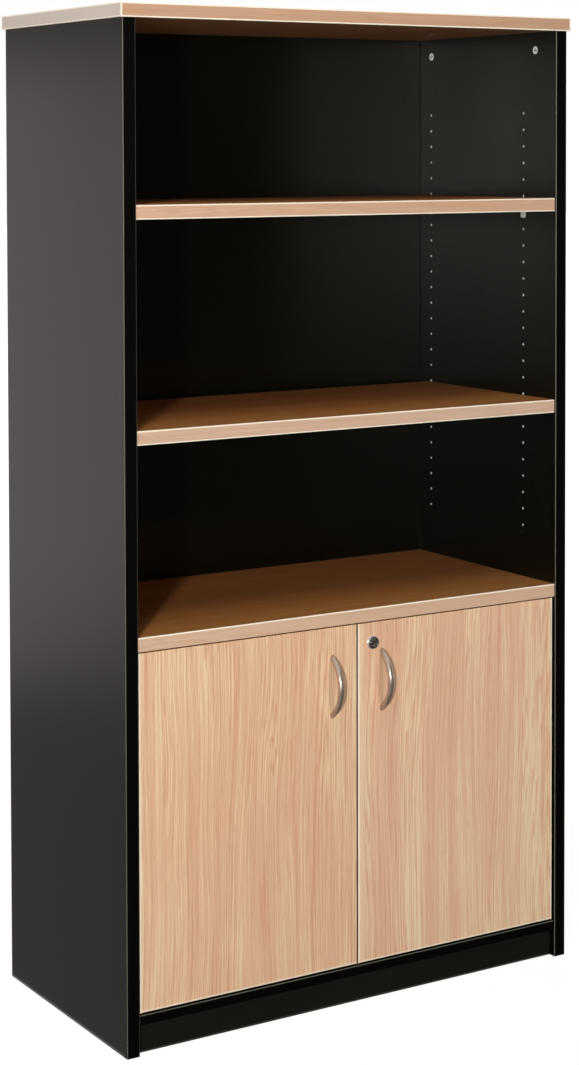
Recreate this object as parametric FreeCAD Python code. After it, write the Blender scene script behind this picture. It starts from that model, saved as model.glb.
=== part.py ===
import FreeCAD, Part
import math
import os

# A free-standing office bookcase: two side panels, a back and a top around three open
# compartments, with a lockable two-door cupboard below a fixed shelf.
#
# Frame: +Z up, the front faces -Y, +X is to the right seen from the front. The origin is on
# the floor, at the middle of the whole footprint with the handles counted in.
# The pieces are drawn with the front of the side panels at Y = 0 and moved to the origin as
# they are written. All lengths are millimetres.

Vector = FreeCAD.Vector
RIGHT = Vector(1, 0, 0)
REAR = Vector(0, 1, 0)
UP = Vector(0, 0, 1)
LEFT = Vector(-1, 0, 0)
FRONT = Vector(0, -1, 0)
DOWN = Vector(0, 0, -1)

# ---- overall size
overall_height = 1800.0
carcass_width = 955.0             # across the outer faces of the side panels
carcass_depth = 460.0             # front to rear of the side panels
top_overhang = 5.0                # top panel past the carcass, all round

# ---- boards and their edging
top_t = 25.0
side_t = 25.0
fixed_shelf_t = 25.0
shelf_t = 25.0
base_t = 18.0
back_t = 18.0
kick_t = 18.0
door_t = 18.0
edging_t = 2.0
edging_radius = 1.6               # on the two outer arrises of every strip

# ---- heights, set-backs and gaps
base_height = 68.5                # floor to the top of the base panel
fixed_shelf_height = 721.0        # floor to the top of the fixed shelf
shelf_recess = 3.0                # shelf front behind the side panels' front
door_recess = 5.0
base_recess = 5.0
kick_recess = 15.0
shelf_rear_gap = 28.0             # open compartments' loose shelves ahead of the back
cupboard_shelf_gap = 12.0         # cupboard shelf front behind the doors' rear face
cupboard_shelf_rear_gap = 32.0
shelf_end_gap = 1.0               # each end of an adjustable shelf
door_side_gap = 3.0
door_top_gap = 2.0
door_bottom_gap = 4.0
door_meeting_gap = 3.0

# ---- rows of holes for the shelf pins
hole_pitch = 32.0
hole_r = 2.5
hole_depth = 12.0
front_column = 99.5               # from the side panels' front
rear_column_inset = 57.0          # from the side panels' rear
top_hole_drop = 154.0             # underside of the top panel to the highest hole
lowest_hole_rise = 90.0           # least height of a hole over the fixed shelf
cupboard_hole_drop = 195.0        # underside of the fixed shelf to the cupboard's highest hole
cupboard_holes = 9
upper_shelf_hole_index = 6        # hole that carries the shelf, counted from 0 at the top
middle_shelf_hole_index = 18
cupboard_shelf_hole_index = 4

# ---- shelf pins: a stem with an angle on it
pin_leg_t = 1.6
pin_leg_width = 13.0
pin_leg_length = 13.0             # level leg, out from the side panel
pin_leg_drop = 10.0               # pin axis to the lower end of the hanging leg
pin_leg_corner_r = 3.0
pin_bend_r = 1.0                  # inside the bend
pin_seat_rise = 4.5               # pin axis to the face that the shelf lies on
pin_stem_length = 9.0

# ---- clearances
bore_fit = 0.15                   # radial, a fitting pressed or glued into its bore
thread_fit = 0.10                 # radial, a screw in its tapped or driven hole
running_fit = 0.08                # radial, a turning or sliding fit
cut_margin = 1.0                  # a cutting shape past the face that it opens

# ---- screw heads and nuts
head_round_share = 0.6            # rounding of a screw head, of the head's height
recess_length_share = 1.1         # driver recess, of the head's radius
recess_width_share = 0.3
recess_depth_share = 0.6          # of the head's height
nut_sides = 6

# ---- cam fittings and dowels that join the boards
cam_r = 7.5
cam_distance = 34.0               # board end to the middle of the cam disc
cam_past_axis = 4.5               # disc depth past the bolt's axis
cam_slot_length = 9.0
cam_slot_width = 1.8
cam_slot_depth = 2.0
bolt_r = 3.5
bolt_neck_r = 2.0
bolt_head_length = 4.0
bolt_neck_length = 4.0
bolt_bore_r = 4.0
thread_r = 2.5
thread_length = 11.0
dowel_r = 4.0
dowel_length = 32.0
dowel_end_gap = 0.5
fitting_front = 64.0              # front pair of fittings behind the side panels' front
fitting_rear_inset = 58.0         # rear pair of fittings ahead of the side panels' rear
dowel_offset = 32.0               # dowel beside its cam fitting
back_fitting_inset = 120.0        # end fittings of the back from its top and bottom
kick_cam_rise = 33.0              # floor to the kick panels' cam bolts
kick_dowel_rise = 12.0

# ---- door handles: a round rod bent to one arc
handle_rod_r = 5.5
handle_span = 103.0               # between the rod's centres where it meets the door
handle_projection = 34.0
handle_end_turn = 2.0             # degrees of bend past the door's face before the flat cut
handle_fixing_centres = 96.0
handle_thread_depth = 8.0
handle_edge_inset = 52.5          # handle's middle line from the door's free edge
handle_drop = 107.0               # top of the door to the middle of the handle
handle_screw_r = 2.0
handle_screw_grip = 7.0           # the screw's reach inside the handle
handle_screw_head_r = 4.0
handle_screw_head_h = 2.2
handle_screw_bore_r = 2.5

# ---- concealed hinges
hinge_inset = 95.0                # hinge's middle from the door's top and bottom
cup_r = 17.5
cup_edge = 5.0                    # cup bore to the door's hinge edge
cup_depth = 11.5
cup_wall = 1.0
cup_bottom_gap = 0.5
flange_t = 1.2
flange_margin = 1.5
ear_offset = 9.5                  # cup screws behind the cup's middle
ear_centres = 45.0
ear_width = 14.0
ear_end = 7.0
cup_screw_r = 1.75
cup_screw_length = 13.0
cup_screw_head_r = 3.4
cup_screw_head_h = 1.8
plate_setback = 37.0              # plate screws behind the doors' rear face
plate_t = 2.0
plate_width = 18.0
plate_length = 48.0
plate_screw_centres = 32.0
plate_screw_length = 11.0
plate_screw_r = 2.4
plate_screw_head_r = 3.6
plate_screw_head_h = 1.6
rail_height = 7.0
rail_width = 11.0
rail_front = 16.0                 # rail's reach ahead of the plate screws
rail_rear = 24.0
arm_sheet = 1.5
arm_width = 16.0
arm_rear = 26.0                   # arm's reach behind the plate screws
arm_lift = 1.0                    # arm's side flanges over the plate
arm_bend = 10.0                   # start of the crank ahead of the plate screws
arm_screw_r = 2.0
arm_screw_length = 5.0
arm_screw_head_r = 3.4
arm_screw_head_h = 1.6
arm_screw_rear = 14.0             # fixing screw behind the plate screws
arm_screw_front = 4.0             # adjusting screw ahead of the plate screws
link_pin_r = 1.3
link_eye_r = 2.6
link_bar_t = 2.2
link_pin_stand = 5.3              # link pins over the cup's flange
link_tip_gap = 0.3                # closed door, link tip to its pin in the cup
cup_pin_r = 1.5
link_tip_depth = 6.0              # link tips below the door's rear face, in the cup
outer_link_reach = 22.0           # from the door's hinge edge
inner_link_reach = 28.5
outer_link_width = 12.0
inner_link_width = 8.0
nose_gap = 0.6                    # links to the arm's nose

# ---- cam lock in the right door
lock_edge_inset = 31.5            # lock's axis from the door's free edge
lock_drop = 37.0                  # top of the door to the lock's axis
lock_rim_r = 12.5
lock_rim_t = 1.6
lock_head_r = 11.0
lock_head_t = 3.4                 # round head in front of the rim
lock_round = 1.0                  # front arrises of the rim and of the head
lock_barrel_r = 9.5
lock_barrel_past = 4.4            # barrel's reach behind the door
lock_plug_r = 7.0
lock_plug_proud = 0.6
lock_plug_back = 3.0              # barrel's rear wall round the plug's tail
lock_tail_r = 4.0
lock_tail_length = 5.6
lock_nut_r = 13.0
lock_nut_t = 3.2
keyway_length = 8.0
keyway_width = 2.0
keyway_depth = 10.0
lock_cam_t = 2.0
lock_cam_width = 14.0
lock_cam_reach = 30.0             # lock's axis to the cam's tip
lock_cam_gap = 0.3
cam_nut_r = 5.5
cam_nut_t = 2.4
strike_t = 1.5
strike_width = 24.0
strike_drop = 20.0
strike_gap = 1.6                  # strike behind the doors' rear face
strike_foot = 20.0
strike_screw_centres = 14.0
strike_screw_r = 1.6
strike_screw_length = 11.0
strike_screw_head_r = 3.0
strike_screw_head_h = 1.6

# ---- slide bolt on the left door
slide_edge_inset = 28.5           # bolt's axis from the door's free edge
slide_case_width = 18.0
slide_case_height = 44.0
slide_case_t = 11.0
slide_case_drop = 4.0             # case top below the door's top
slide_rod_r = 3.0
slide_rod_length = 39.0
slide_rod_rise = 2.0              # rod's end over the case at rest
slide_travel = 12.0
slide_knob_r = 2.2
slide_knob_proud = 6.0
slide_knob_rise = 9.0             # rod's lower end to the knob
slide_slot_gap = 0.3
slide_screw_centres = 34.0
slide_screw_offset = 5.8          # case screws beside the rod
slide_screw_r = 1.25
slide_screw_length = 10.0
slide_screw_head_r = 2.2
slide_screw_head_h = 1.2
keeper_t = 1.2
keeper_width = 26.0
keeper_depth = 13.0
keeper_hole_r = 3.7
keeper_bore_depth = 12.0
keeper_screw_centres = 18.0
keeper_screw_r = 1.25
keeper_screw_length = 9.0
keeper_screw_head_r = 2.2
keeper_screw_head_h = 0.7

# ---- places that follow from the sizes
half_width = carcass_width / 2
inner_half = half_width - side_t
top_under = overall_height - top_t
fixed_under = fixed_shelf_height - fixed_shelf_t
base_under = base_height - base_t
back_front = carcass_depth - back_t
rear_column = carcass_depth - rear_column_inset
door_rear = door_recess + door_t
door_hinge_x = -inner_half + door_side_gap
door_free_x = -door_meeting_gap / 2
door_bottom = base_height + door_bottom_gap
door_top = fixed_under - door_top_gap
top_hole_height = top_under - top_hole_drop
cupboard_hole_height = fixed_under - cupboard_hole_drop
open_holes = 1 + int((top_hole_height - fixed_shelf_height - lowest_hole_rise) // hole_pitch)
fitting_rear = carcass_depth - fitting_rear_inset
hinge_heights = (door_bottom + hinge_inset, door_top - hinge_inset)
handle_height = door_top - handle_drop
front_reach = handle_projection - door_recess
rear_reach = carcass_depth + top_overhang
to_origin = Vector(0, (front_reach - rear_reach) / 2, 0)


# ---- plain shapes
def block(low, high):
    """A box between two corners, given as (x, y, z)."""
    size = [high[i] - low[i] for i in range(3)]
    return Part.makeBox(size[0], size[1], size[2], Vector(*low))


def rod(start, towards, radius, length):
    """A cylinder from start, along towards."""
    return Part.makeCylinder(radius, length, start, towards)


def prism(outline, z_low, z_high):
    """A closed outline of (x, y) points, extruded from z_low to z_high."""
    points = [Vector(x, y, z_low) for x, y in outline]
    wire = Part.makePolygon(points + [points[0]])
    return Part.Face(wire).extrude(Vector(0, 0, z_high - z_low))


def placed(shape, start, towards):
    """A shape drawn along +Z at zero, moved to start and turned to point along towards."""
    shape.Placement = FreeCAD.Placement(start, FreeCAD.Rotation(UP, towards))
    return shape


def mirrored(shapes):
    """The same pieces on the other side of the bookcase."""
    return [shape.mirror(Vector(0, 0, 0), RIGHT) for shape in shapes]


def both_sides(shapes):
    return shapes + mirrored(shapes)


def same_place(first, second):
    """Whether two straight edges lie in the same place."""
    return first.CenterOfMass.distanceToPoint(second.CenterOfMass) < edging_t / 100


def front_arris(shape):
    """The edges that lie in a shape's foremost face."""
    front = shape.BoundBox.YMin
    return [edge for edge in shape.Edges if edge.BoundBox.YMax < front + bore_fit]


def cross_slot(length, width, depth):
    """A cross-shaped driver recess in a face at Z = 0, cut towards +Z."""
    along = Part.makeBox(length, width, depth, Vector(-length / 2, -width / 2, 0))
    across = Part.makeBox(width, length, depth, Vector(-width / 2, -length / 2, 0))
    return along.fuse(across)


def screw(start, towards, radius, length, head_r, head_h):
    """A pan-head screw whose head stands on the surface at start."""
    shank = Part.makeCylinder(radius, length)
    head = Part.makeCylinder(head_r, head_h, Vector(0, 0, -head_h))
    rim = [edge for edge in head.Edges if edge.BoundBox.ZMax < -head_h / 2]
    head = head.makeFillet(head_h * head_round_share, rim)
    recess = cross_slot(head_r * recess_length_share, head_r * recess_width_share,
                        head_h * recess_depth_share)
    recess.translate(Vector(0, 0, -head_h))
    return placed(head.fuse(shank).cut(recess), start, towards)


def edging_strip(low, high, outwards):
    """A strip of edging whose two long arrises on the outer face are rounded."""
    strip = block(low, high)
    size = Vector(high[0] - low[0], high[1] - low[1], high[2] - low[2])
    outer = max(vertex.Point.dot(outwards) for vertex in strip.Vertexes)
    longest = max(size.x, size.y, size.z)
    arrises = []
    for edge in strip.Edges:
        on_face = all(abs(vertex.Point.dot(outwards) - outer) < edging_t / 2 for vertex in edge.Vertexes)
        if on_face and abs(edge.Length - longest) < edging_t / 2:
            arrises.append(edge)
    return strip.makeFillet(edging_radius, arrises)


# ---- holes are collected for each board and bored when the board is made
bores = {}


def bore(node, *shapes):
    bores.setdefault(node, []).extend(shapes)


def board(node, low, high):
    """A flat board with every hole that its fittings need."""
    shape = block(low, high)
    if node in bores:
        shape = shape.cut(bores[node])
    return shape


def write(node, shapes):
    """Writes one node, a single solid or a group of separate ones, in its place."""
    shape = shapes[0] if len(shapes) == 1 else Part.makeCompound(shapes)
    shape = shape.copy()
    shape.translate(to_origin)
    shape.exportStep("parts/" + node + ".step")


# ---- fittings that join the boards
cam_discs = []
cam_bolts = []
dowels = []


def cam_joint(holder, mate, seat, into, face, thickness):
    """A disc in the holder draws in a bolt that is screwed into the mate.

    seat is the bolt's axis at the joint, into points into the holder, and face is the
    outward normal of the holder's face that shows the disc.
    """
    centre = seat + into * cam_distance
    mouth = centre + face * (thickness / 2)
    disc_h = thickness / 2 + cam_past_axis
    pocket = rod(seat, into, bolt_bore_r, cam_distance + bolt_head_length / 2 + bore_fit)
    disc = rod(mouth, -face, cam_r - bore_fit, disc_h).cut(pocket)
    disc = disc.cut(placed(cross_slot(cam_slot_length, cam_slot_width, cam_slot_depth), mouth, -face))
    cam_discs.append(disc)

    head_start = cam_distance - bolt_head_length / 2
    neck_start = head_start - bolt_neck_length
    thread = rod(seat, -into, thread_r - thread_fit, thread_length)
    shank = rod(seat, into, bolt_r, neck_start)
    neck = rod(seat + into * neck_start, into, bolt_neck_r, bolt_neck_length)
    head = rod(seat + into * head_start, into, bolt_r, bolt_head_length)
    cam_bolts.append(thread.fuse([shank, neck, head]))

    bore(holder, rod(mouth, -face, cam_r, disc_h), rod(seat, into, bolt_bore_r, cam_distance))
    bore(mate, rod(seat, -into, thread_r, thread_length + dowel_end_gap))


def dowel_joint(first, second, seat, into):
    """A wooden dowel, half in each board; into points into the first one."""
    half = dowel_length / 2
    dowels.append(rod(seat - into * half, into, dowel_r - bore_fit, dowel_length))
    bore(first, rod(seat, into, dowel_r, half + dowel_end_gap))
    bore(second, rod(seat, -into, dowel_r, half + dowel_end_gap))


def join_top(side, side_x, inwards):
    """Discs in the side panel's inner face pull the top down on its end."""
    for y, dowel_y in ((fitting_front, fitting_front + dowel_offset),
                       (fitting_rear, fitting_rear - dowel_offset)):
        cam_joint(side, "top_panel", Vector(side_x, y, top_under), DOWN, inwards, side_t)
        dowel_joint(side, "top_panel", Vector(side_x, dowel_y, top_under), DOWN)


def join_level_board(node, side, inner_x, inwards, z, thickness):
    """Discs in the underside of a level board pull it against a side panel."""
    for y, dowel_y in ((fitting_front, fitting_front + dowel_offset),
                       (fitting_rear, fitting_rear - dowel_offset)):
        cam_joint(node, side, Vector(inner_x, y, z), inwards, DOWN, thickness)
        dowel_joint(node, side, Vector(inner_x, dowel_y, z), inwards)


def join_upright_board(node, side, inner_x, inwards, y, face, thickness, cam_heights, dowel_heights):
    """Discs in a face of an upright board pull it against a side panel."""
    for z in cam_heights:
        cam_joint(node, side, Vector(inner_x, y, z), inwards, face, thickness)
    for z in dowel_heights:
        dowel_joint(node, side, Vector(inner_x, y, z), inwards)


def join_carcass():
    kick_y = kick_recess + kick_t / 2
    rear_kick_y = carcass_depth - kick_t / 2
    back_y = carcass_depth - back_t / 2
    low = base_height + back_fitting_inset
    high = top_under - back_fitting_inset
    back_cams = (low, (low + high) / 2, high)
    back_dowels = (low + dowel_offset, high - dowel_offset)
    for side, side_x, inner_x, inwards in (
            ("left_side_panel", side_t / 2 - half_width, -inner_half, RIGHT),
            ("right_side_panel", half_width - side_t / 2, inner_half, LEFT)):
        join_top(side, side_x, inwards)
        join_level_board("fixed_shelf", side, inner_x, inwards,
                         fixed_shelf_height - fixed_shelf_t / 2, fixed_shelf_t)
        join_level_board("base_panel", side, inner_x, inwards, base_height - base_t / 2, base_t)
        join_upright_board("kick_panel", side, inner_x, inwards, kick_y, REAR, kick_t,
                           (kick_cam_rise,), (kick_dowel_rise,))
        join_upright_board("rear_kick_panel", side, inner_x, inwards, rear_kick_y, FRONT, kick_t,
                           (kick_cam_rise,), (kick_dowel_rise,))
        join_upright_board("back_panel", side, inner_x, inwards, back_y, REAR, back_t,
                           back_cams, back_dowels)


# ---- adjustable shelves
def open_hole(count):
    return top_hole_height - count * hole_pitch


def cupboard_hole(count):
    return cupboard_hole_height - count * hole_pitch


def drill_pin_holes():
    heights = [open_hole(i) for i in range(open_holes)]
    heights += [cupboard_hole(i) for i in range(cupboard_holes)]
    for z in heights:
        for y in (front_column, rear_column):
            bore("left_side_panel", rod(Vector(-inner_half, y, z), LEFT, hole_r, hole_depth))
            bore("right_side_panel", rod(Vector(inner_half, y, z), RIGHT, hole_r, hole_depth))


def shelf_pin(y, z):
    """A pin in the left side panel; the shelf lies on the level leg of its angle."""
    wall = -inner_half
    seat = z + pin_seat_rise
    low = z - pin_leg_drop
    half = pin_leg_width / 2
    hanging = block((wall, y - half, low), (wall + pin_leg_t, y + half, seat))
    level = block((wall, y - half, seat - pin_leg_t), (wall + pin_leg_length, y + half, seat))
    angle = hanging.fuse(level).removeSplitter()
    near = pin_leg_t / 2
    corners, bend = [], []
    for edge in angle.Edges:
        box = edge.BoundBox
        if box.ZMax < low + near and box.XLength > near:
            corners.append(edge)
        elif box.XMin > wall + pin_leg_length - near and box.ZLength > near:
            corners.append(edge)
        elif (abs(box.XMax - wall - pin_leg_t) < near and box.XLength < near
              and abs(box.ZMin - seat + pin_leg_t) < near and box.ZLength < near):
            bend.append(edge)
    angle = angle.makeFillet(pin_leg_corner_r, corners)
    stem = rod(Vector(wall, y, z), LEFT, hole_r - bore_fit, pin_stem_length)
    inner = [edge for edge in angle.Edges if any(same_place(edge, old) for old in bend)]
    return angle.makeFillet(pin_bend_r, inner).fuse(stem)


def write_shelf_pins():
    heights = (open_hole(upper_shelf_hole_index), open_hole(middle_shelf_hole_index),
               cupboard_hole(cupboard_shelf_hole_index))
    pins = [shelf_pin(y, z) for z in heights for y in (front_column, rear_column)]
    write("shelf_pins", both_sides(pins))


def write_shelf(node, half_length, front, rear, under, thickness):
    """A level board with a strip of edging on its front."""
    write(node, [board(node, (-half_length, front + edging_t, under), (half_length, rear, under + thickness))])
    write(node + "_edging", [edging_strip((-half_length, front, under),
                                          (half_length, front + edging_t, under + thickness), FRONT)])


def write_shelves():
    loose_half = inner_half - shelf_end_gap
    write_shelf("fixed_shelf", inner_half, shelf_recess, back_front, fixed_under, fixed_shelf_t)
    for node, index in (("upper_shelf", upper_shelf_hole_index),
                        ("middle_shelf", middle_shelf_hole_index)):
        write_shelf(node, loose_half, shelf_recess, back_front - shelf_rear_gap,
                    open_hole(index) + pin_seat_rise, shelf_t)
    write_shelf("cupboard_shelf", loose_half, door_rear + cupboard_shelf_gap,
                back_front - cupboard_shelf_rear_gap,
                cupboard_hole(cupboard_shelf_hole_index) + pin_seat_rise, shelf_t)


# ---- carcass boards
def write_side(node, outer_x, inner_x):
    low_x = min(outer_x, inner_x)
    high_x = max(outer_x, inner_x)
    write(node, [board(node, (low_x, edging_t, 0), (high_x, carcass_depth - edging_t, top_under))])
    front_strip = edging_strip((low_x, 0, 0), (high_x, edging_t, top_under), FRONT)
    rear_strip = edging_strip((low_x, carcass_depth - edging_t, 0), (high_x, carcass_depth, top_under), REAR)
    write(node.replace("panel", "edging"), [front_strip, rear_strip])


def write_top():
    x = half_width + top_overhang
    front = -top_overhang
    rear = carcass_depth + top_overhang
    low = top_under
    high = overall_height
    write("top_panel", [board("top_panel", (-x + edging_t, front + edging_t, low),
                              (x - edging_t, rear - edging_t, high))])
    strips = [
        edging_strip((-x, front, low), (x, front + edging_t, high), FRONT),
        edging_strip((-x, rear - edging_t, low), (x, rear, high), REAR),
        edging_strip((-x, front + edging_t, low), (-x + edging_t, rear - edging_t, high), LEFT),
        edging_strip((x - edging_t, front + edging_t, low), (x, rear - edging_t, high), RIGHT)]
    write("top_edging", strips)


def write_carcass():
    write_side("left_side_panel", -half_width, -inner_half)
    write_side("right_side_panel", half_width, inner_half)
    write_top()
    write("back_panel", [board("back_panel", (-inner_half, back_front, base_height),
                               (inner_half, carcass_depth, top_under))])
    write_shelf("base_panel", inner_half, base_recess, carcass_depth, base_under, base_t)
    write("kick_panel", [board("kick_panel", (-inner_half, kick_recess, 0),
                               (inner_half, kick_recess + kick_t, base_under))])
    write("rear_kick_panel", [board("rear_kick_panel", (-inner_half, carcass_depth - kick_t, 0),
                                    (inner_half, carcass_depth, base_under))])


# ---- doors
def write_door(side_name, low_x, high_x):
    """A door board with edging on its four sides; the upright strips run the full height."""
    node = side_name + "_door"
    inner_low = low_x + edging_t
    inner_high = high_x - edging_t
    write(node, [board(node, (inner_low, door_recess, door_bottom + edging_t),
                       (inner_high, door_rear, door_top - edging_t))])
    strips = [
        edging_strip((low_x, door_recess, door_bottom), (inner_low, door_rear, door_top), LEFT),
        edging_strip((inner_high, door_recess, door_bottom), (high_x, door_rear, door_top), RIGHT),
        edging_strip((inner_low, door_recess, door_bottom), (inner_high, door_rear, door_bottom + edging_t), DOWN),
        edging_strip((inner_low, door_recess, door_top - edging_t), (inner_high, door_rear, door_top), UP)]
    write(node + "_edging", strips)


def arc_handle(x):
    """A rod bent to an arc in the plane X = x, cut flat where it meets the door."""
    rise = handle_projection - handle_rod_r
    half = handle_span / 2
    bend_r = (half * half + rise * rise) / (2 * rise)
    centre = Vector(x, door_recess - rise + bend_r, handle_height)
    outer_arris = math.acos((bend_r - rise) / (bend_r + handle_rod_r))
    half_turn = math.degrees(outer_arris) + handle_end_turn
    circle = Part.Circle(Vector(x, centre.y - bend_r, handle_height), UP, handle_rod_r)
    disc = Part.Face(Part.Wire(circle.toShape()))
    disc.rotate(centre, RIGHT, -half_turn)
    bow = disc.revolve(centre, RIGHT, 2 * half_turn)
    behind = block((x - bend_r, door_recess, handle_height - 2 * bend_r),
                   (x + bend_r, door_recess + 2 * bend_r, handle_height + 2 * bend_r))
    return bow.cut(behind)


def handle_set(door, x):
    """The handle and its two screws through the door."""
    handle = arc_handle(x)
    screws = []
    for z in (handle_height - handle_fixing_centres / 2, handle_height + handle_fixing_centres / 2):
        tapped = rod(Vector(x, door_recess, z), FRONT, handle_screw_r, handle_thread_depth)
        handle = handle.cut(tapped)
        screws.append(screw(Vector(x, door_rear, z), FRONT, handle_screw_r - thread_fit,
                            door_t + handle_screw_grip, handle_screw_head_r, handle_screw_head_h))
        bore(door, rod(Vector(x, door_rear, z), FRONT, handle_screw_bore_r, door_t))
    return [handle], screws


# ---- concealed hinges, drawn for the left door
cup_x = door_hinge_x + cup_edge + cup_r
cup_screw_x = cup_x + ear_offset
plate_y = door_rear + plate_setback
rail_top = -inner_half + plate_t + rail_height


def cup_pin_places():
    """Each link's pin in the cup: beside the link's tip, on the side that opens away from it."""
    places = []
    for x, _ in link_pin_places():
        tip = Vector(x, door_rear - link_tip_depth, 0)
        radius = tip - Vector(door_hinge_x, door_recess, 0)
        away = Vector(radius.y, -radius.x, 0).normalize()
        places.append(tip + away * (link_bar_t + link_tip_gap + cup_pin_r))
    return places


def hinge_cup(z):
    """A round cup sunk in the door, with two cross pins and a flange with an ear for each screw."""
    mouth = Vector(cup_x, door_rear + flange_t, z)
    body = rod(mouth, FRONT, cup_r - bore_fit, cup_depth + flange_t)
    rim = rod(mouth, FRONT, cup_r + flange_margin, flange_t)
    ears = block((cup_screw_x - ear_width / 2, door_rear, z - ear_centres / 2 - ear_end),
                 (cup_screw_x + ear_width / 2, door_rear + flange_t, z + ear_centres / 2 + ear_end))
    hollow = rod(mouth, FRONT, cup_r - bore_fit - cup_wall, cup_depth + flange_t - cup_wall)
    holes = [rod(Vector(cup_screw_x, door_rear, z + side * ear_centres / 2), REAR,
                 cup_screw_r + thread_fit, flange_t) for side in (-1, 1)]
    pins = [rod(place + UP * (z - cup_r), UP, cup_pin_r, 2 * cup_r).common(body)
            for place in cup_pin_places()]
    return body.fuse([rim, ears]).cut([hollow] + holes).fuse(pins)


def hinge_cup_screws(z):
    return [screw(Vector(cup_screw_x, door_rear + flange_t, z + side * ear_centres / 2), FRONT,
                  cup_screw_r, cup_screw_length, cup_screw_head_r, cup_screw_head_h) for side in (-1, 1)]


def bore_door_for_hinge(door, z, mirror):
    """The cup's bore and its screw holes; mirror is -1 for the right door."""
    bore(door, rod(Vector(mirror * cup_x, door_rear, z), FRONT, cup_r, cup_depth + cup_bottom_gap))
    for side in (-1, 1):
        start = Vector(mirror * cup_screw_x, door_rear, z + side * ear_centres / 2)
        bore(door, rod(start, FRONT, cup_screw_r + thread_fit, cup_screw_length))


def bore_side_for_hinge(side_panel, z, mirror):
    for side in (-1, 1):
        start = Vector(-mirror * inner_half, plate_y, z + side * plate_screw_centres / 2)
        bore(side_panel, rod(start, LEFT * mirror, hole_r, hole_depth))


def arm_screw_places():
    return (plate_y + arm_screw_rear, plate_y - arm_screw_front)


def hinge_plate(z):
    """A plate across the side panel with a rail that the arm slides on."""
    base = block((-inner_half, plate_y - plate_width / 2, z - plate_length / 2),
                 (-inner_half + plate_t, plate_y + plate_width / 2, z + plate_length / 2))
    rail = block((-inner_half, plate_y - rail_front, z - rail_width / 2),
                 (rail_top, plate_y + rail_rear, z + rail_width / 2))
    holes = [rod(Vector(-inner_half, plate_y, z + side * plate_screw_centres / 2), RIGHT,
                 plate_screw_r + thread_fit, plate_t) for side in (-1, 1)]
    holes += [rod(Vector(rail_top, y, z), LEFT, arm_screw_r + thread_fit, arm_screw_length)
              for y in arm_screw_places()]
    return base.fuse(rail).cut(holes)


def hinge_plate_screws(z):
    return [screw(Vector(-inner_half + plate_t, plate_y, z + side * plate_screw_centres / 2), LEFT,
                  plate_screw_r, plate_screw_length, plate_screw_head_r, plate_screw_head_h)
            for side in (-1, 1)]


def link_pin_places():
    """Where the outer and the inner link hang in the arm's nose, as (x, y)."""
    y = door_rear + flange_t + link_pin_stand
    return ((door_hinge_x + outer_link_reach, y), (door_hinge_x + inner_link_reach, y))


def hinge_arm(z):
    """A channel that lies over the rail and cranks in to the cup; its back is the web."""
    (outer_x, pin_y), (inner_x, _) = link_pin_places()
    low_x = -inner_half + plate_t + arm_lift
    rear = plate_y + arm_rear
    bend = plate_y - arm_bend
    nose_x = inner_x + link_eye_r + nose_gap
    nose_top = pin_y + link_eye_r + nose_gap
    nose_bottom = pin_y - link_eye_r
    heel_x = outer_x - link_eye_r - nose_gap
    skin = [(low_x, rear), (rail_top + arm_sheet, rear), (rail_top + arm_sheet, bend),
            (nose_x + arm_sheet, nose_top + arm_sheet), (nose_x + arm_sheet, nose_bottom),
            (heel_x, nose_bottom), (heel_x, pin_y), (low_x, plate_y - rail_front)]
    open_x = low_x - cut_margin
    open_heel = heel_x - cut_margin
    open_bottom = nose_bottom - cut_margin
    inside = [(open_x, rear - arm_sheet), (rail_top, rear - arm_sheet),
              (rail_top, bend - arm_sheet / 2), (nose_x, nose_top), (nose_x, open_bottom),
              (open_heel, open_bottom), (open_heel, pin_y),
              (open_x, plate_y - rail_front - cut_margin)]
    half = arm_width / 2
    arm = prism(skin, z - half, z + half)
    arm = arm.cut(prism(inside, z - half + arm_sheet, z + half - arm_sheet))
    holes = [rod(Vector(x, y, z - half), UP, link_pin_r + running_fit, arm_width)
             for x, y in link_pin_places()]
    holes += [rod(Vector(rail_top, y, z), RIGHT, arm_screw_r + thread_fit, arm_sheet)
              for y in arm_screw_places()]
    return arm.cut(holes)


def hinge_arm_screws(z):
    return [screw(Vector(rail_top + arm_sheet, y, z), LEFT, arm_screw_r, arm_screw_length + arm_sheet,
                  arm_screw_head_r, arm_screw_head_h) for y in arm_screw_places()]


def hinge_link(place, width, z):
    """A flat link from its pin in the arm down into the cup."""
    x, y = place
    tip_y = door_rear - link_tip_depth
    low = z - width / 2
    eye = rod(Vector(x, y, low), UP, link_eye_r, width)
    tip = rod(Vector(x, tip_y, low), UP, link_bar_t, width)
    bar = block((x - link_bar_t / 2, tip_y, low), (x + link_bar_t / 2, y, low + width))
    hole = rod(Vector(x, y, low), UP, link_pin_r + running_fit, width)
    return eye.fuse([tip, bar]).cut(hole)


def hinge_links(z):
    outer, inner = link_pin_places()
    return [hinge_link(outer, outer_link_width, z), hinge_link(inner, inner_link_width, z)]


def hinge_pins(z):
    return [rod(Vector(x, y, z - arm_width / 2), UP, link_pin_r, arm_width) for x, y in link_pin_places()]


def write_hinges():
    cups = [hinge_cup(z) for z in hinge_heights]
    cup_screws = [piece for z in hinge_heights for piece in hinge_cup_screws(z)]
    arms = [hinge_arm(z) for z in hinge_heights]
    links = [piece for z in hinge_heights for piece in hinge_links(z)]
    plates = [hinge_plate(z) for z in hinge_heights]
    for name, pieces in (("cups", cups), ("cup_screws", cup_screws), ("arms", arms),
                         ("links", links), ("plates", plates)):
        write("left_hinge_" + name, pieces)
        write("right_hinge_" + name, mirrored(pieces))
    write("hinge_pins", both_sides([piece for z in hinge_heights for piece in hinge_pins(z)]))
    write("hinge_arm_screws", both_sides([piece for z in hinge_heights for piece in hinge_arm_screws(z)]))
    write("hinge_plate_screws", both_sides([piece for z in hinge_heights for piece in hinge_plate_screws(z)]))


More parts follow.
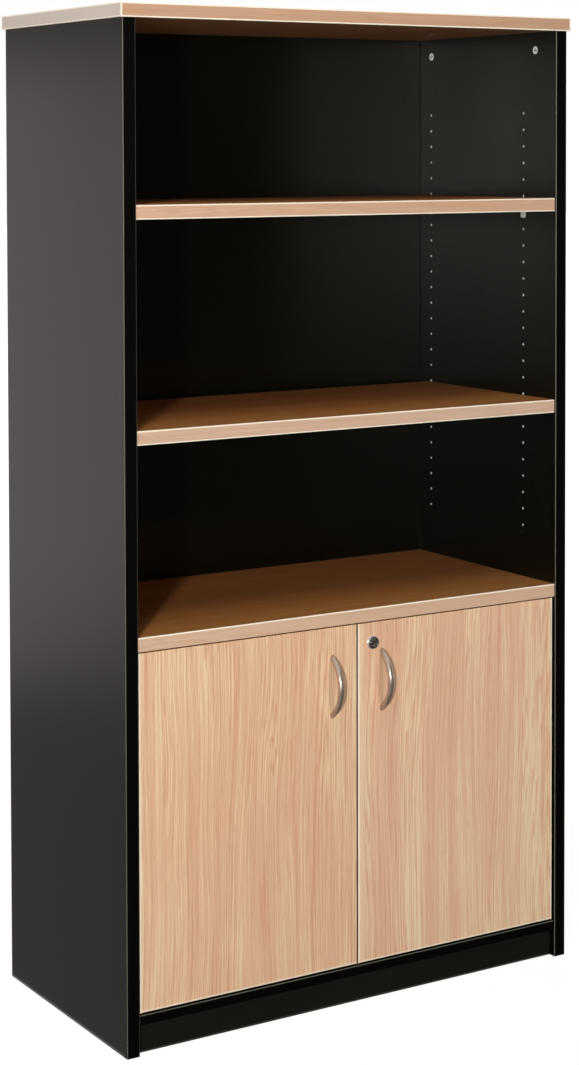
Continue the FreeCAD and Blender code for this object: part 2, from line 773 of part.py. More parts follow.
# ---- cam lock in the right door, with its strike under the fixed shelf
lock_x = -door_free_x + lock_edge_inset
lock_height = door_top - lock_drop
barrel_end = door_rear + lock_barrel_past
cam_front = barrel_end + lock_cam_gap
lock_axis = Vector(lock_x, 0, lock_height)


def on_lock_axis(y):
    return lock_axis + REAR * y


def lock_housing():
    """A barrel through the door with a flat rim and a round head on its front."""
    rim_front = door_recess - lock_rim_t
    head_front = rim_front - lock_head_t
    rim = rod(on_lock_axis(rim_front), REAR, lock_rim_r, lock_rim_t)
    rim = rim.makeFillet(lock_round, front_arris(rim))
    head = rod(on_lock_axis(head_front), REAR, lock_head_r, door_recess - head_front)
    head = head.makeFillet(lock_round, front_arris(head))
    barrel = rod(on_lock_axis(head_front), REAR, lock_barrel_r - bore_fit, barrel_end - head_front)
    plug_room = rod(on_lock_axis(head_front), REAR, lock_plug_r + running_fit,
                    barrel_end - lock_plug_back - head_front)
    tail_room = rod(on_lock_axis(head_front), REAR, lock_tail_r + running_fit, barrel_end - head_front)
    return rim.fuse([head, barrel]).cut([plug_room, tail_room])


def lock_plug():
    """The part that the key turns: a plug with a keyway and a tail for the cam."""
    front = door_recess - lock_rim_t - lock_head_t - lock_plug_proud
    shoulder = barrel_end - lock_plug_back - running_fit
    plug = rod(on_lock_axis(front), REAR, lock_plug_r, shoulder - front)
    tail = rod(on_lock_axis(front), REAR, lock_tail_r, barrel_end + lock_tail_length - front)
    keyway = block((lock_x - keyway_width / 2, front, lock_height - keyway_length / 2),
                   (lock_x + keyway_width / 2, front + keyway_depth, lock_height + keyway_length / 2))
    return plug.fuse(tail).cut(keyway)


def lock_cam():
    """A flat bar on the plug's tail; it points sideways when the door is unlocked."""
    half = lock_cam_width / 2
    hub = rod(on_lock_axis(cam_front), REAR, half, lock_cam_t)
    bar = block((lock_x, cam_front, lock_height - half),
                (lock_x + lock_cam_reach, cam_front + lock_cam_t, lock_height + half))
    hole = rod(on_lock_axis(cam_front), REAR, lock_tail_r + thread_fit, lock_cam_t)
    return hub.fuse(bar).cut(hole)


def hexagon_nut(start, towards, radius, thickness, hole_radius):
    """A six-sided nut whose corners lie on radius."""
    turns = [2 * math.pi * i / nut_sides for i in range(nut_sides)]
    corners = [Vector(radius * math.cos(turn), radius * math.sin(turn), 0) for turn in turns]
    blank = Part.Face(Part.makePolygon(corners + [corners[0]])).extrude(Vector(0, 0, thickness))
    return placed(blank.cut(Part.makeCylinder(hole_radius, thickness)), start, towards)


def lock_strike():
    """An angle under the fixed shelf; the turned cam stands behind its hanging leg."""
    half = strike_width / 2
    leg_y = door_rear + strike_gap
    leg = block((lock_x - half, leg_y, fixed_under - strike_drop),
                (lock_x + half, leg_y + strike_t, fixed_under))
    foot = block((lock_x - half, leg_y, fixed_under - strike_t),
                 (lock_x + half, leg_y + strike_foot, fixed_under))
    holes = [rod(start, UP, strike_screw_r + thread_fit, strike_t) for start in strike_screw_places()]
    return leg.fuse(foot).cut(holes)


def strike_screw_places():
    y = door_rear + strike_gap + strike_t + (strike_foot - strike_t) / 2
    return [Vector(lock_x + side * strike_screw_centres / 2, y, fixed_under - strike_t) for side in (-1, 1)]


def strike_screws():
    return [screw(start, UP, strike_screw_r, strike_screw_length, strike_screw_head_r, strike_screw_head_h)
            for start in strike_screw_places()]


def bore_for_lock():
    bore("right_door", rod(on_lock_axis(door_rear), FRONT, lock_barrel_r, door_t))
    for start in strike_screw_places():
        bore("fixed_shelf", rod(start, UP, strike_screw_r + thread_fit, strike_screw_length))


def write_lock():
    write("lock_housing", [lock_housing()])
    write("lock_nut", [hexagon_nut(on_lock_axis(door_rear), REAR, lock_nut_r, lock_nut_t, lock_barrel_r)])
    write("lock_plug", [lock_plug()])
    write("lock_cam", [lock_cam()])
    write("lock_cam_nut", [hexagon_nut(on_lock_axis(cam_front + lock_cam_t), REAR, cam_nut_r, cam_nut_t,
                                       lock_tail_r)])
    write("lock_strike", [lock_strike()])
    write("lock_strike_screws", strike_screws())


# ---- slide bolt on the rear of the left door, with its keeper under the fixed shelf
slide_x = door_free_x - slide_edge_inset
slide_y = door_rear + slide_case_t / 2
case_top = door_top - slide_case_drop
rod_top = case_top + slide_rod_rise
rod_bottom = rod_top - slide_rod_length
knob_height = rod_bottom + slide_knob_rise


def slide_case():
    """A case with a bore for the rod, a slot for its knob and a hole for each screw."""
    half = slide_case_width / 2
    low = case_top - slide_case_height
    case = block((slide_x - half, door_rear, low), (slide_x + half, door_rear + slide_case_t, case_top))
    gap = slide_knob_r + slide_slot_gap
    slot = block((slide_x - gap, slide_y, knob_height - gap),
                 (slide_x + gap, door_rear + slide_case_t, knob_height + slide_travel + gap))
    holes = [rod(start, FRONT, slide_screw_r + thread_fit, slide_case_t) for start in slide_screw_places()]
    bored = rod(Vector(slide_x, slide_y, low), UP, slide_rod_r + running_fit, slide_case_height)
    return case.cut([slot, bored] + holes)


def slide_screw_places():
    middle = case_top - slide_case_height / 2
    y = door_rear + slide_case_t
    return [Vector(slide_x + side * slide_screw_offset, y, middle + side * slide_screw_centres / 2)
            for side in (-1, 1)]


def slide_rod():
    """The bolt itself, with the knob that pushes it."""
    bolt = rod(Vector(slide_x, slide_y, rod_bottom), UP, slide_rod_r, slide_rod_length)
    knob = rod(Vector(slide_x, slide_y, knob_height), REAR, slide_knob_r,
               slide_case_t / 2 + slide_knob_proud)
    return bolt.fuse(knob)


def slide_screws():
    return [screw(start, FRONT, slide_screw_r, slide_case_t + slide_screw_length,
                  slide_screw_head_r, slide_screw_head_h) for start in slide_screw_places()]


def keeper_screw_places():
    return [Vector(slide_x + side * keeper_screw_centres / 2, slide_y, fixed_under - keeper_t)
            for side in (-1, 1)]


def slide_keeper():
    """A plate under the fixed shelf whose hole takes the bolt."""
    plate = block((slide_x - keeper_width / 2, slide_y - keeper_depth / 2, fixed_under - keeper_t),
                  (slide_x + keeper_width / 2, slide_y + keeper_depth / 2, fixed_under))
    holes = [rod(start, UP, keeper_screw_r + thread_fit, keeper_t) for start in keeper_screw_places()]
    holes.append(rod(Vector(slide_x, slide_y, fixed_under - keeper_t), UP, keeper_hole_r, keeper_t))
    return plate.cut(holes)


def keeper_screws():
    return [screw(start, UP, keeper_screw_r, keeper_screw_length, keeper_screw_head_r, keeper_screw_head_h)
            for start in keeper_screw_places()]


def bore_for_slide_bolt():
    for start in slide_screw_places():
        bore("left_door", rod(Vector(start.x, door_rear, start.z), FRONT, slide_screw_r + thread_fit,
                              slide_screw_length))
    bore("fixed_shelf", rod(Vector(slide_x, slide_y, fixed_under), UP, keeper_hole_r, keeper_bore_depth))
    for start in keeper_screw_places():
        bore("fixed_shelf", rod(start, UP, keeper_screw_r + thread_fit, keeper_screw_length))


def write_slide_bolt():
    write("slide_bolt_case", [slide_case()])
    write("slide_bolt_rod", [slide_rod()])
    write("slide_bolt_screws", slide_screws())
    write("slide_bolt_keeper", [slide_keeper()])
    write("slide_bolt_keeper_screws", keeper_screws())


# ---- the whole bookcase: every hole is collected before the boards are made
def main():
    os.makedirs("parts", exist_ok=True)
    join_carcass()
    drill_pin_holes()
    for mirror, side_name in ((1, "left"), (-1, "right")):
        for z in hinge_heights:
            bore_door_for_hinge(side_name + "_door", z, mirror)
            bore_side_for_hinge(side_name + "_side_panel", z, mirror)
        handle, handle_screws = handle_set(side_name + "_door", mirror * (door_free_x - handle_edge_inset))
        write(side_name + "_handle", handle)
        write(side_name + "_handle_screws", handle_screws)
    bore_for_lock()
    bore_for_slide_bolt()
    write_carcass()
    write_shelves()
    write_shelf_pins()
    write_door("left", door_hinge_x, door_free_x)
    write_door("right", -door_free_x, -door_hinge_x)
    write_hinges()
    write_lock()
    write_slide_bolt()
    write("cam_discs", cam_discs)
    write("cam_bolts", cam_bolts)
    write("dowels", dowels)


main()
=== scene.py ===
"""Finishes, handles, floor and studio light for the bookcase with cabinet doors."""
import math

import bpy
import numpy as np
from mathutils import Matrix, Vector


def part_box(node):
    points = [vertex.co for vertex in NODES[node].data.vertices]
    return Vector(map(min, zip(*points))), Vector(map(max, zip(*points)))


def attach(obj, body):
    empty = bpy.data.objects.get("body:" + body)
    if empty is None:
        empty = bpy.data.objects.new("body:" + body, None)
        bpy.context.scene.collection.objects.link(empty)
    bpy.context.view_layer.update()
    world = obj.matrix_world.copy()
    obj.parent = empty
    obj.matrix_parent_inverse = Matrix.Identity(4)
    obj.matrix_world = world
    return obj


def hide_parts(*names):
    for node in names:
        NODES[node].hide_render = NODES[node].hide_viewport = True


bl_info = {
    "name": "Bookcase with cabinet doors",
    "version": (1, 0, 0),
    "blender": (4, 5, 0),
    "location": "3D View > Sidebar > Bookcase",
    "description": "Beech print, charcoal melamine, metal fittings, bow handles and a studio",
    "category": "Object",
}

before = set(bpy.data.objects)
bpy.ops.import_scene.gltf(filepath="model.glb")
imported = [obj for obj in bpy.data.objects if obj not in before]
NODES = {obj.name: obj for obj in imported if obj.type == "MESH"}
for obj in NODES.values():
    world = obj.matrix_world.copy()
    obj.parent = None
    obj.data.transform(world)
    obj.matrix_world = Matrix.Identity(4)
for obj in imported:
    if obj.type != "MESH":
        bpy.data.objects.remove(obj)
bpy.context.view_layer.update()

X, Y, Z = 0, 1, 2
DOORS = ("left_door", "right_door")
BEECH_LEVEL = ("fixed_shelf", "middle_shelf", "upper_shelf", "cupboard_shelf")
CHARCOAL_UPRIGHT = ("left_side_panel", "right_side_panel", "back_panel")
CHARCOAL_LEVEL = ("base_panel", "kick_panel", "rear_kick_panel")
BLACK_UPRIGHT = ("left_side_edging", "right_side_edging")
NICKEL_PARTS = ("left_hinge_arms", "right_hinge_arms", "left_hinge_cups", "right_hinge_cups",
                "left_hinge_links", "right_hinge_links", "left_hinge_plates",
                "right_hinge_plates", "hinge_pins", "shelf_pins")
ZINC_PLATED = ("cam_bolts", "hinge_arm_screws", "hinge_plate_screws", "left_handle_screws",
               "right_handle_screws", "left_hinge_cup_screws", "right_hinge_cup_screws",
               "lock_cam", "lock_cam_nut", "lock_nut", "lock_strike", "lock_strike_screws",
               "slide_bolt_case", "slide_bolt_keeper", "slide_bolt_keeper_screws",
               "slide_bolt_rod", "slide_bolt_screws")

# what the print of each edging is multiplied by; the higher edgings are toned darker, a painted
# shade that evens out the stronger light on them
EDGING_TONES = {"top_edging": (0.82, 0.75, 0.67), "upper_shelf_edging": (0.91, 0.86, 0.80),
                "middle_shelf_edging": (0.96, 0.98, 0.98),
                "fixed_shelf_edging": (1.01, 1.02, 0.99),
                "cupboard_shelf_edging": (1.0, 1.0, 1.0)}
# where the heart of a board's log runs: across, depth and tilt
HEARTS = {"left_door": (-0.13, 0.09, 0.02), "right_door": (0.23, 0.012, 0.055)}
PLAIN_HEART = (0.0, 0.05, 0.03)
# axis and sign of the sides whose arrises carry no painted highlight
PLAIN_SIDES = {"left_door_edging": ((X, 1), (Z, 1)), "right_door_edging": ((Z, 1),),
               "fixed_shelf_edging": ((Z, -1),), "base_panel_edging": ((Z, -1),)}

# beech print
DRIFT_REACH = 0.055  # slow wander of all staves
WANDER_REACH = 0.012  # wander of the grain inside a stave
JITTER_REACH = 0.002  # its fine unevenness
STAVE_LEAN = 0.045  # range of the grain's slope from stave to stave
STAVE_SHIFT = 7.0  # how far apart two staves may take their streaks from
BLOCK_WIDTH = 0.014
BLOCKS_ALONG = 1.8  # blocks in a metre of length
BLOCK_SHIFT = 9.0  # how far apart two staves may take their blocks from
RING_PITCH = 0.0062
EDGING_STAVE, EDGING_CONTRAST = 0.05, 0.8
# what the pale, middle, rosy and line colours of the edging multiply its middle colour by
EDGING_SHADES = (1.12, 1.0, (0.95, 0.88, 0.86), (0.86, 0.76, 0.7))
# its layers: scale along each axis, detail, roughness, and weight in the tone
PRINT_LAYERS = {"patches": ((7.0, 7.0, 1.3), 1.0, 0.5, 0.5),
                "bands": ((24.0, 1.0, 0.5), 2.0, 0.5, 0.5),
                "streaks": ((200.0, 1.0, 1.6), 3.0, 0.6, 0.7),
                "hairs": ((400.0, 1.0, 4.0), 1.0, 0.5, 1.2),
                "fibres": ((640.0, 640.0, 30.0), 2.0, 0.7, 0.7)}
STRAIGHT_LAYERS = ("patches", "fibres")  # these don't follow the staves
STAVE_WEIGHT, BLOCK_WEIGHT, FLAME_WEIGHT = 0.15, 0.16, -0.5
RING_DARKENS, RING_ENDS = (0.35, 0.85), (0.88, 1.0)  # shares of a ring's width
RING_SHIFT = 5.0  # range of rings by which noise shifts a flame
FLAME_PLACES = (0.36, 0.62)  # noise between which the flames come out
FULL_TONE = 0.4  # tone at which the palest or the rosiest colour is reached
CRACK_HAIRS, CRACK_SHARE = (0.7, 0.84), 0.6
SHEEN = 0.1

# lines, seams and steps, in metres
HOLE_DEPTH = 0.0004  # a point deeper in a board than this is on the wall of a hole
LINE_CORE = 0.6  # share of a line's width at full strength
ENDLESS = 10.0
RIM_HIGHLIGHT_WIDTH, RIM_HIGHLIGHT_SHARE = 0.0045, 0.6  # painted highlight along the rim of a door
PALE_BAND, PALE_BAND_SHARE = (0.006, 0.017), 0.6  # it fades out this far from the lock side
SHELF_ARRIS_HIGHLIGHT = 0.0028  # painted highlight along an arris of printed edging
BLACK_ARRIS_HIGHLIGHT, BLACK_ARRIS_HIGHLIGHT_SHARE = 0.0014, 0.8  # painted highlight along an arris of black edging
TOP_END_REFLECTION, TOP_END_REFLECTION_SHARE = (0.0009, 0.0006), 0.75  # how far inside its ends the top's edging pales, a painted reflection
DOOR_GAP_SHADE = (0.0006, 0.0016)  # how far behind a door's front its edging is painted dark, as shade in the gaps
BACK_SEAM = 0.0015  # dull line where the back meets the sides
CAM_SLOT_SHADE = 0.0006  # the slots of the cams are painted dark, as shade, this far inside a side panel
RIM_FACE, PLUG_FACE, FACE_FADE = 0.0114, 0.02, 0.0008  # radii of the lock's tarnish, and fade
TARNISH = (0.62, 0.52)  # noise between which the tarnish comes out

# gloss and relief
DULL, DOOR_SIDE_DULL = 0.9, 0.8  # roughness of raw board and seams, and of the doors' sides
BLACK_GLOSS = 0.3  # roughness of the black edging
# strength and height in metres of each finish's relief
RELIEFS = {"print": (0.12, 0.0003), "printed_edging": (0.1, 0.0003), "melamine": (0.1, 0.0002),
           "black_edging": (0.05, 0.0002), "metal": (0.06, 0.0002)}
MELAMINE_SHINE = {"Specular IOR Level": 0.34, "Specular Tint": (1.0, 0.985, 0.91, 1.0)}
EDGING_SHINE = {"Specular IOR Level": 0.2}
DOOR_EDGING_SHINE = {"Specular IOR Level": 0.1, "Specular Tint": (0.9, 0.6, 0.35, 1.0)}
# metals: roughness, scale of the scratches along each axis, and metallic
METALS = {"satin_nickel": (0.22, (40.0, 3.0, 1.0), 0.72),
          "bright_nickel": (0.3, (500.0, 500.0, 80.0), 0.45),
          "zinc_plate": (0.34, (600.0, 600.0, 600.0), 1.0),
          "zinc_casting": (0.5, (900.0, 900.0, 900.0), 0.1),
          "chrome": (0.25, (500.0, 500.0, 500.0), 0.7)}
# how much roughness clouds and scratches add, and the least that is left
CLOUD_GLOSS, SCRATCH_GLOSS, LEAST_GLOSS = 0.12, 0.3, 0.04
# tints that shade a colour, the dark colour of the pores, and the painted shade in recesses
CLOUD_TINT = (1.25, 1.22, 1.2)
WORN_TINT = (0.72, 0.71, 0.69)
FLECK_TINT = (0.6, 0.58, 0.55)
PORE_COLOUR, PORE_SHARE = (0.03, 0.029, 0.026), 0.22
RECESS_SHADE_COLOUR = (0.03, 0.03, 0.03)


def linear(red, green, blue):
    """Turns screen values of 0 to 255 into the linear light that shaders use."""
    shares = [value / 255 for value in (red, green, blue)]
    return [s / 12.92 if s <= 0.04045 else ((s + 0.055) / 1.055) ** 2.4 for s in shares]


# ---- what a user would change
class BeechPrint(bpy.types.PropertyGroup):
    """Colours and scale of the beech print."""

    pale: bpy.props.FloatVectorProperty(
        name="Pale streaks", description="Colour of the palest, yellowish streaks",
        subtype="COLOR", size=3, min=0, max=1, default=linear(231, 203, 160))
    middle: bpy.props.FloatVectorProperty(
        name="Middle tone", description="Colour between the pale and the rosy bands",
        subtype="COLOR", size=3, min=0, max=1, default=linear(221, 178, 141))
    rosy: bpy.props.FloatVectorProperty(
        name="Rosy bands", description="Colour of the darker, pinkish bands",
        subtype="COLOR", size=3, min=0, max=1, default=linear(208, 157, 122))
    stave_width: bpy.props.FloatProperty(
        name="Stave width", description="Usual width of one stave across the grain",
        unit="LENGTH", min=0.005, max=0.3, default=0.05)
    line: bpy.props.FloatVectorProperty(
        name="Growth lines", description="Colour of the fine dark growth lines",
        subtype="COLOR", size=3, min=0, max=1, default=linear(192, 146, 108))
    left_door: bpy.props.FloatVectorProperty(
        name="Left door tone", description="What the print of the left door is multiplied by",
        subtype="COLOR", size=3, min=0, max=1.5, default=(1.08, 1.08, 1.11))
    right_door: bpy.props.FloatVectorProperty(
        name="Right door tone", description="What the print of the right door is multiplied by",
        subtype="COLOR", size=3, min=0, max=1.5, default=(1.08, 1.08, 1.14))
    # painted shade: the shelves' print is toned darker and browner for the dim light that grazes
    # them
    shelf: bpy.props.FloatVectorProperty(
        name="Shelf tone", description="What the print of the shelves is multiplied by",
        subtype="COLOR", size=3, min=0, max=1.5, default=(0.78, 0.48, 0.22))
    # painted shade under the top
    top_underside_shade: bpy.props.FloatVectorProperty(
        name="Underside tone", description="What the print under the top is multiplied by",
        subtype="COLOR", size=3, min=0, max=1.5, default=(0.44, 0.32, 0.2))
    # painted shade in the gaps round the doors
    door_side_shade: bpy.props.FloatVectorProperty(
        name="Door sides", description="Colour of the doors' edging along their narrow sides",
        subtype="COLOR", size=3, min=0, max=1, default=linear(96, 62, 34))
    # painted highlight along each rounded arris
    arris: bpy.props.FloatVectorProperty(
        name="Arris", description="Colour of the light line along each rounded arris",
        subtype="COLOR", size=3, min=0, max=1, default=linear(255, 244, 222))
    edging: bpy.props.FloatVectorProperty(
        name="Edging", description="Middle colour of the printed edging",
        subtype="COLOR", size=3, min=0, max=1, default=linear(211, 175, 148))
    # painted reflection: the grey that the top's edging pales to at its ends
    painted_end_reflection: bpy.props.FloatVectorProperty(
        name="End edging", description="Colour that the edging at the ends of the top fades to",
        subtype="COLOR", size=3, min=0, max=1, default=linear(216, 208, 198))
    roughness: bpy.props.FloatProperty(
        name="Roughness", description="Gloss of the print, higher is duller",
        min=0, max=1, default=0.42)


class CharcoalBoard(bpy.types.PropertyGroup):
    """Colours and gloss of the charcoal melamine and its edging."""

    # painted shade: the panels' melamine is painted far darker than the plinth's, for the shade
    # inside the compartments; the plinth keeps the lit colour of the same melamine
    base: bpy.props.FloatVectorProperty(
        name="Melamine", description="Colour of the charcoal melamine",
        subtype="COLOR", size=3, min=0, max=1, default=linear(4, 5, 2))
    plinth: bpy.props.FloatVectorProperty(
        name="Plinth", description="Colour of the base and kick boards' melamine",
        subtype="COLOR", size=3, min=0, max=1, default=linear(21, 22, 17))
    edging: bpy.props.FloatVectorProperty(
        name="Edging", description="Colour of the black edging",
        subtype="COLOR", size=3, min=0, max=1, default=linear(3, 4, 2))
    # painted highlight along the rounded arrises of the black edging
    arris: bpy.props.FloatVectorProperty(
        name="Arris", description="Colour of the worn arris of the black edging",
        subtype="COLOR", size=3, min=0, max=1, default=linear(112, 109, 96))
    # raw board, lightened to near white as painted light on the shaded walls of the holes
    chipboard: bpy.props.FloatVectorProperty(
        name="Chipboard", description="Colour of the raw board inside its drilled holes",
        subtype="COLOR", size=3, min=0, max=1, default=linear(250, 249, 246))
    roughness: bpy.props.FloatProperty(
        name="Roughness", description="Gloss of the melamine, higher is duller",
        min=0, max=1, default=0.25)


class MetalFittings(bpy.types.PropertyGroup):
    """Colours of the metal fittings and the size of the bow handles."""

    satin_nickel: bpy.props.FloatVectorProperty(
        name="Satin nickel", description="Colour of the bow handles",
        subtype="COLOR", size=3, min=0, max=1, default=(0.47, 0.37, 0.3))
    chrome: bpy.props.FloatVectorProperty(
        name="Chrome", description="Colour of the lock's rim",
        subtype="COLOR", size=3, min=0, max=1, default=(0.82, 0.80, 0.77))
    dark_chrome: bpy.props.FloatVectorProperty(
        name="Dark chrome", description="Colour of the tarnish on the lock's face",
        subtype="COLOR", size=3, min=0, max=1, default=(0.1, 0.088, 0.08))
    nickel: bpy.props.FloatVectorProperty(
        name="Nickel", description="Colour of the hinges and shelf pins",
        subtype="COLOR", size=3, min=0, max=1, default=(0.82, 0.81, 0.79))
    zinc: bpy.props.FloatVectorProperty(
        name="Zinc", description="Colour of screws and bolts",
        subtype="COLOR", size=3, min=0, max=1, default=(0.66, 0.67, 0.68))
    casting: bpy.props.FloatVectorProperty(
        name="Zinc casting", description="Colour of the cam discs",
        subtype="COLOR", size=3, min=0, max=1, default=(0.98, 0.98, 0.96))
    handle_rod_radius: bpy.props.FloatProperty(
        name="Handle rod radius", description="Radius of the rod that each handle is bent from",
        unit="LENGTH", min=0.002, max=0.01, default=0.0055)


class StudioSettings(bpy.types.PropertyGroup):
    """Strength of the studio light and colour of the floor."""

    key_power: bpy.props.FloatProperty(
        name="Key light", description="Power of the narrow light at the front left",
        unit="POWER", min=0, max=2000, default=325.0)
    overhead_power: bpy.props.FloatProperty(
        name="Overhead light", description="Power of the long light above the front left",
        unit="POWER", min=0, max=2000, default=30.0)
    fill_power: bpy.props.FloatProperty(
        name="Fill light", description="Power of the wide, low light in front",
        unit="POWER", min=0, max=2000, default=65.0)
    room_level: bpy.props.FloatProperty(
        name="Room", description="Brightness of the room behind the bookcase",
        min=0, max=2, default=0.6)
    floor: bpy.props.FloatVectorProperty(
        name="Floor", description="Colour of the floor",
        subtype="COLOR", size=3, min=0, max=1, default=(0.74, 0.73, 0.71))


# ---- shader building
def add_node(tree, kind, inputs=None, **options):
    """Adds a shader node of a kind, sets its options and fills or links its inputs."""
    made = tree.nodes.new(kind)
    for key, value in options.items():
        setattr(made, key, value)
    for socket, value in (inputs or {}).items():
        if isinstance(value, bpy.types.NodeSocket):
            tree.links.new(value, made.inputs[socket])
        else:
            made.inputs[socket].default_value = value
    return made


def calc(tree, operation, first, second=0.0):
    """One maths node; gives its output socket."""
    inputs = {0: first, 1: second}
    return add_node(tree, "ShaderNodeMath", inputs, operation=operation).outputs[0]


def plus(tree, first, second):
    return calc(tree, "ADD", first, second)


def times(tree, first, second):
    return calc(tree, "MULTIPLY", first, second)


def rest_of(tree, share):
    """What a share leaves of one."""
    return calc(tree, "SUBTRACT", 1.0, share)


def vector_calc(tree, operation, first, second=(0, 0, 0)):
    """One vector maths node; gives its output socket."""
    inputs = {0: first, 1: second}
    return add_node(tree, "ShaderNodeVectorMath", inputs, operation=operation).outputs[0]


def length(tree, vector):
    return add_node(tree, "ShaderNodeVectorMath", {0: vector}, operation="LENGTH").outputs["Value"]


def split(tree, vector):
    """The X, Y and Z of a vector."""
    return add_node(tree, "ShaderNodeSeparateXYZ", {0: vector}).outputs


def split_colour(tree, colour):
    """The red, green and blue of a colour."""
    return add_node(tree, "ShaderNodeSeparateColor", {0: colour}).outputs


def ramp_between(tree, value, low, high):
    """A smooth step from 0 at low to 1 at high."""
    return add_node(tree, "ShaderNodeMapRange", {"Value": value, "From Min": low, "From Max": high},
                    interpolation_type="SMOOTHSTEP").outputs["Result"]


def centred(tree, value, weight):
    """A value round one half, moved to lie round zero and weighted."""
    return times(tree, calc(tree, "SUBTRACT", value, 0.5), weight)


def mix_colours(tree, factor, first, second, blend="MIX"):
    """The mix of two colours; 6 and 7 are the mix node's colour inputs."""
    return add_node(tree, "ShaderNodeMix", {0: factor, 6: first, 7: second},
                    data_type="RGBA", blend_type=blend).outputs[2]


def tinted(tree, colour, tint):
    """A colour multiplied by a tint."""
    return mix_colours(tree, 1.0, colour, opaque(tint), "MULTIPLY")


def noise(tree, vector, scale, detail=2.0, roughness=0.5):
    """Noise of the vector times a scale of its own along each axis."""
    stretched = vector_calc(tree, "MULTIPLY", vector, scale)
    return add_node(tree, "ShaderNodeTexNoise",
                    {"Vector": stretched, "Scale": 1.0, "Detail": detail,
                     "Roughness": roughness}).outputs["Fac"]


def opaque(colour):
    """A colour with full alpha."""
    return (*colour, 1.0)


def new_group(name, inputs, outputs):
    """An empty node group with named sockets and their kinds; gives it and its inputs."""
    group = bpy.data.node_groups.new(name, "ShaderNodeTree")
    for side, sockets in (("INPUT", inputs), ("OUTPUT", outputs)):
        for socket_name, kind in sockets.items():
            group.interface.new_socket(name=socket_name, in_out=side,
                                       socket_type=f"NodeSocket{kind}")
    return group, group.nodes.new("NodeGroupInput").outputs


def fill_outputs(group, values):
    """Links the values that a node group gives."""
    result = group.nodes.new("NodeGroupOutput")
    for socket_name, value in values.items():
        group.links.new(value, result.inputs[socket_name])


def place_group(tree, name, make, inputs):
    """Places a node group, which is made the first time that it is asked for."""
    group = bpy.data.node_groups.get(name) or make(name)
    return add_node(tree, "ShaderNodeGroup", inputs, node_tree=group)


def board_mask_group(name):
    """Masks of a square board: the line along its arrises, and the walls of its drilled holes.

    For a point at p from the board's middle, each axis is half size - |p| away from a face. The
    least of the three is the depth in the board, and the second least is the distance to the
    nearest arris.
    """
    group, given = new_group(
        name,
        {"Vector": "Vector", "Middle": "Vector", "Half size": "Vector", "Arris width": "Float"},
        {"Arris": "Float", "Hole": "Float"})
    width = given["Arris width"]
    offset = vector_calc(group, "SUBTRACT", given["Vector"], given["Middle"])
    reach = vector_calc(group, "SUBTRACT", given["Half size"],
                        vector_calc(group, "ABSOLUTE", offset))
    x, y, z = split(group, reach)
    lesser = calc(group, "MINIMUM", x, y)
    greater = calc(group, "MAXIMUM", x, y)
    depth = calc(group, "MINIMUM", lesser, z)
    second = calc(group, "MAXIMUM", lesser, calc(group, "MINIMUM", greater, z))
    fade = ramp_between(group, second, times(group, width, LINE_CORE), width)
    fill_outputs(group, {"Arris": rest_of(group, fade),
                         "Hole": calc(group, "GREATER_THAN", depth, HOLE_DEPTH)})
    return group


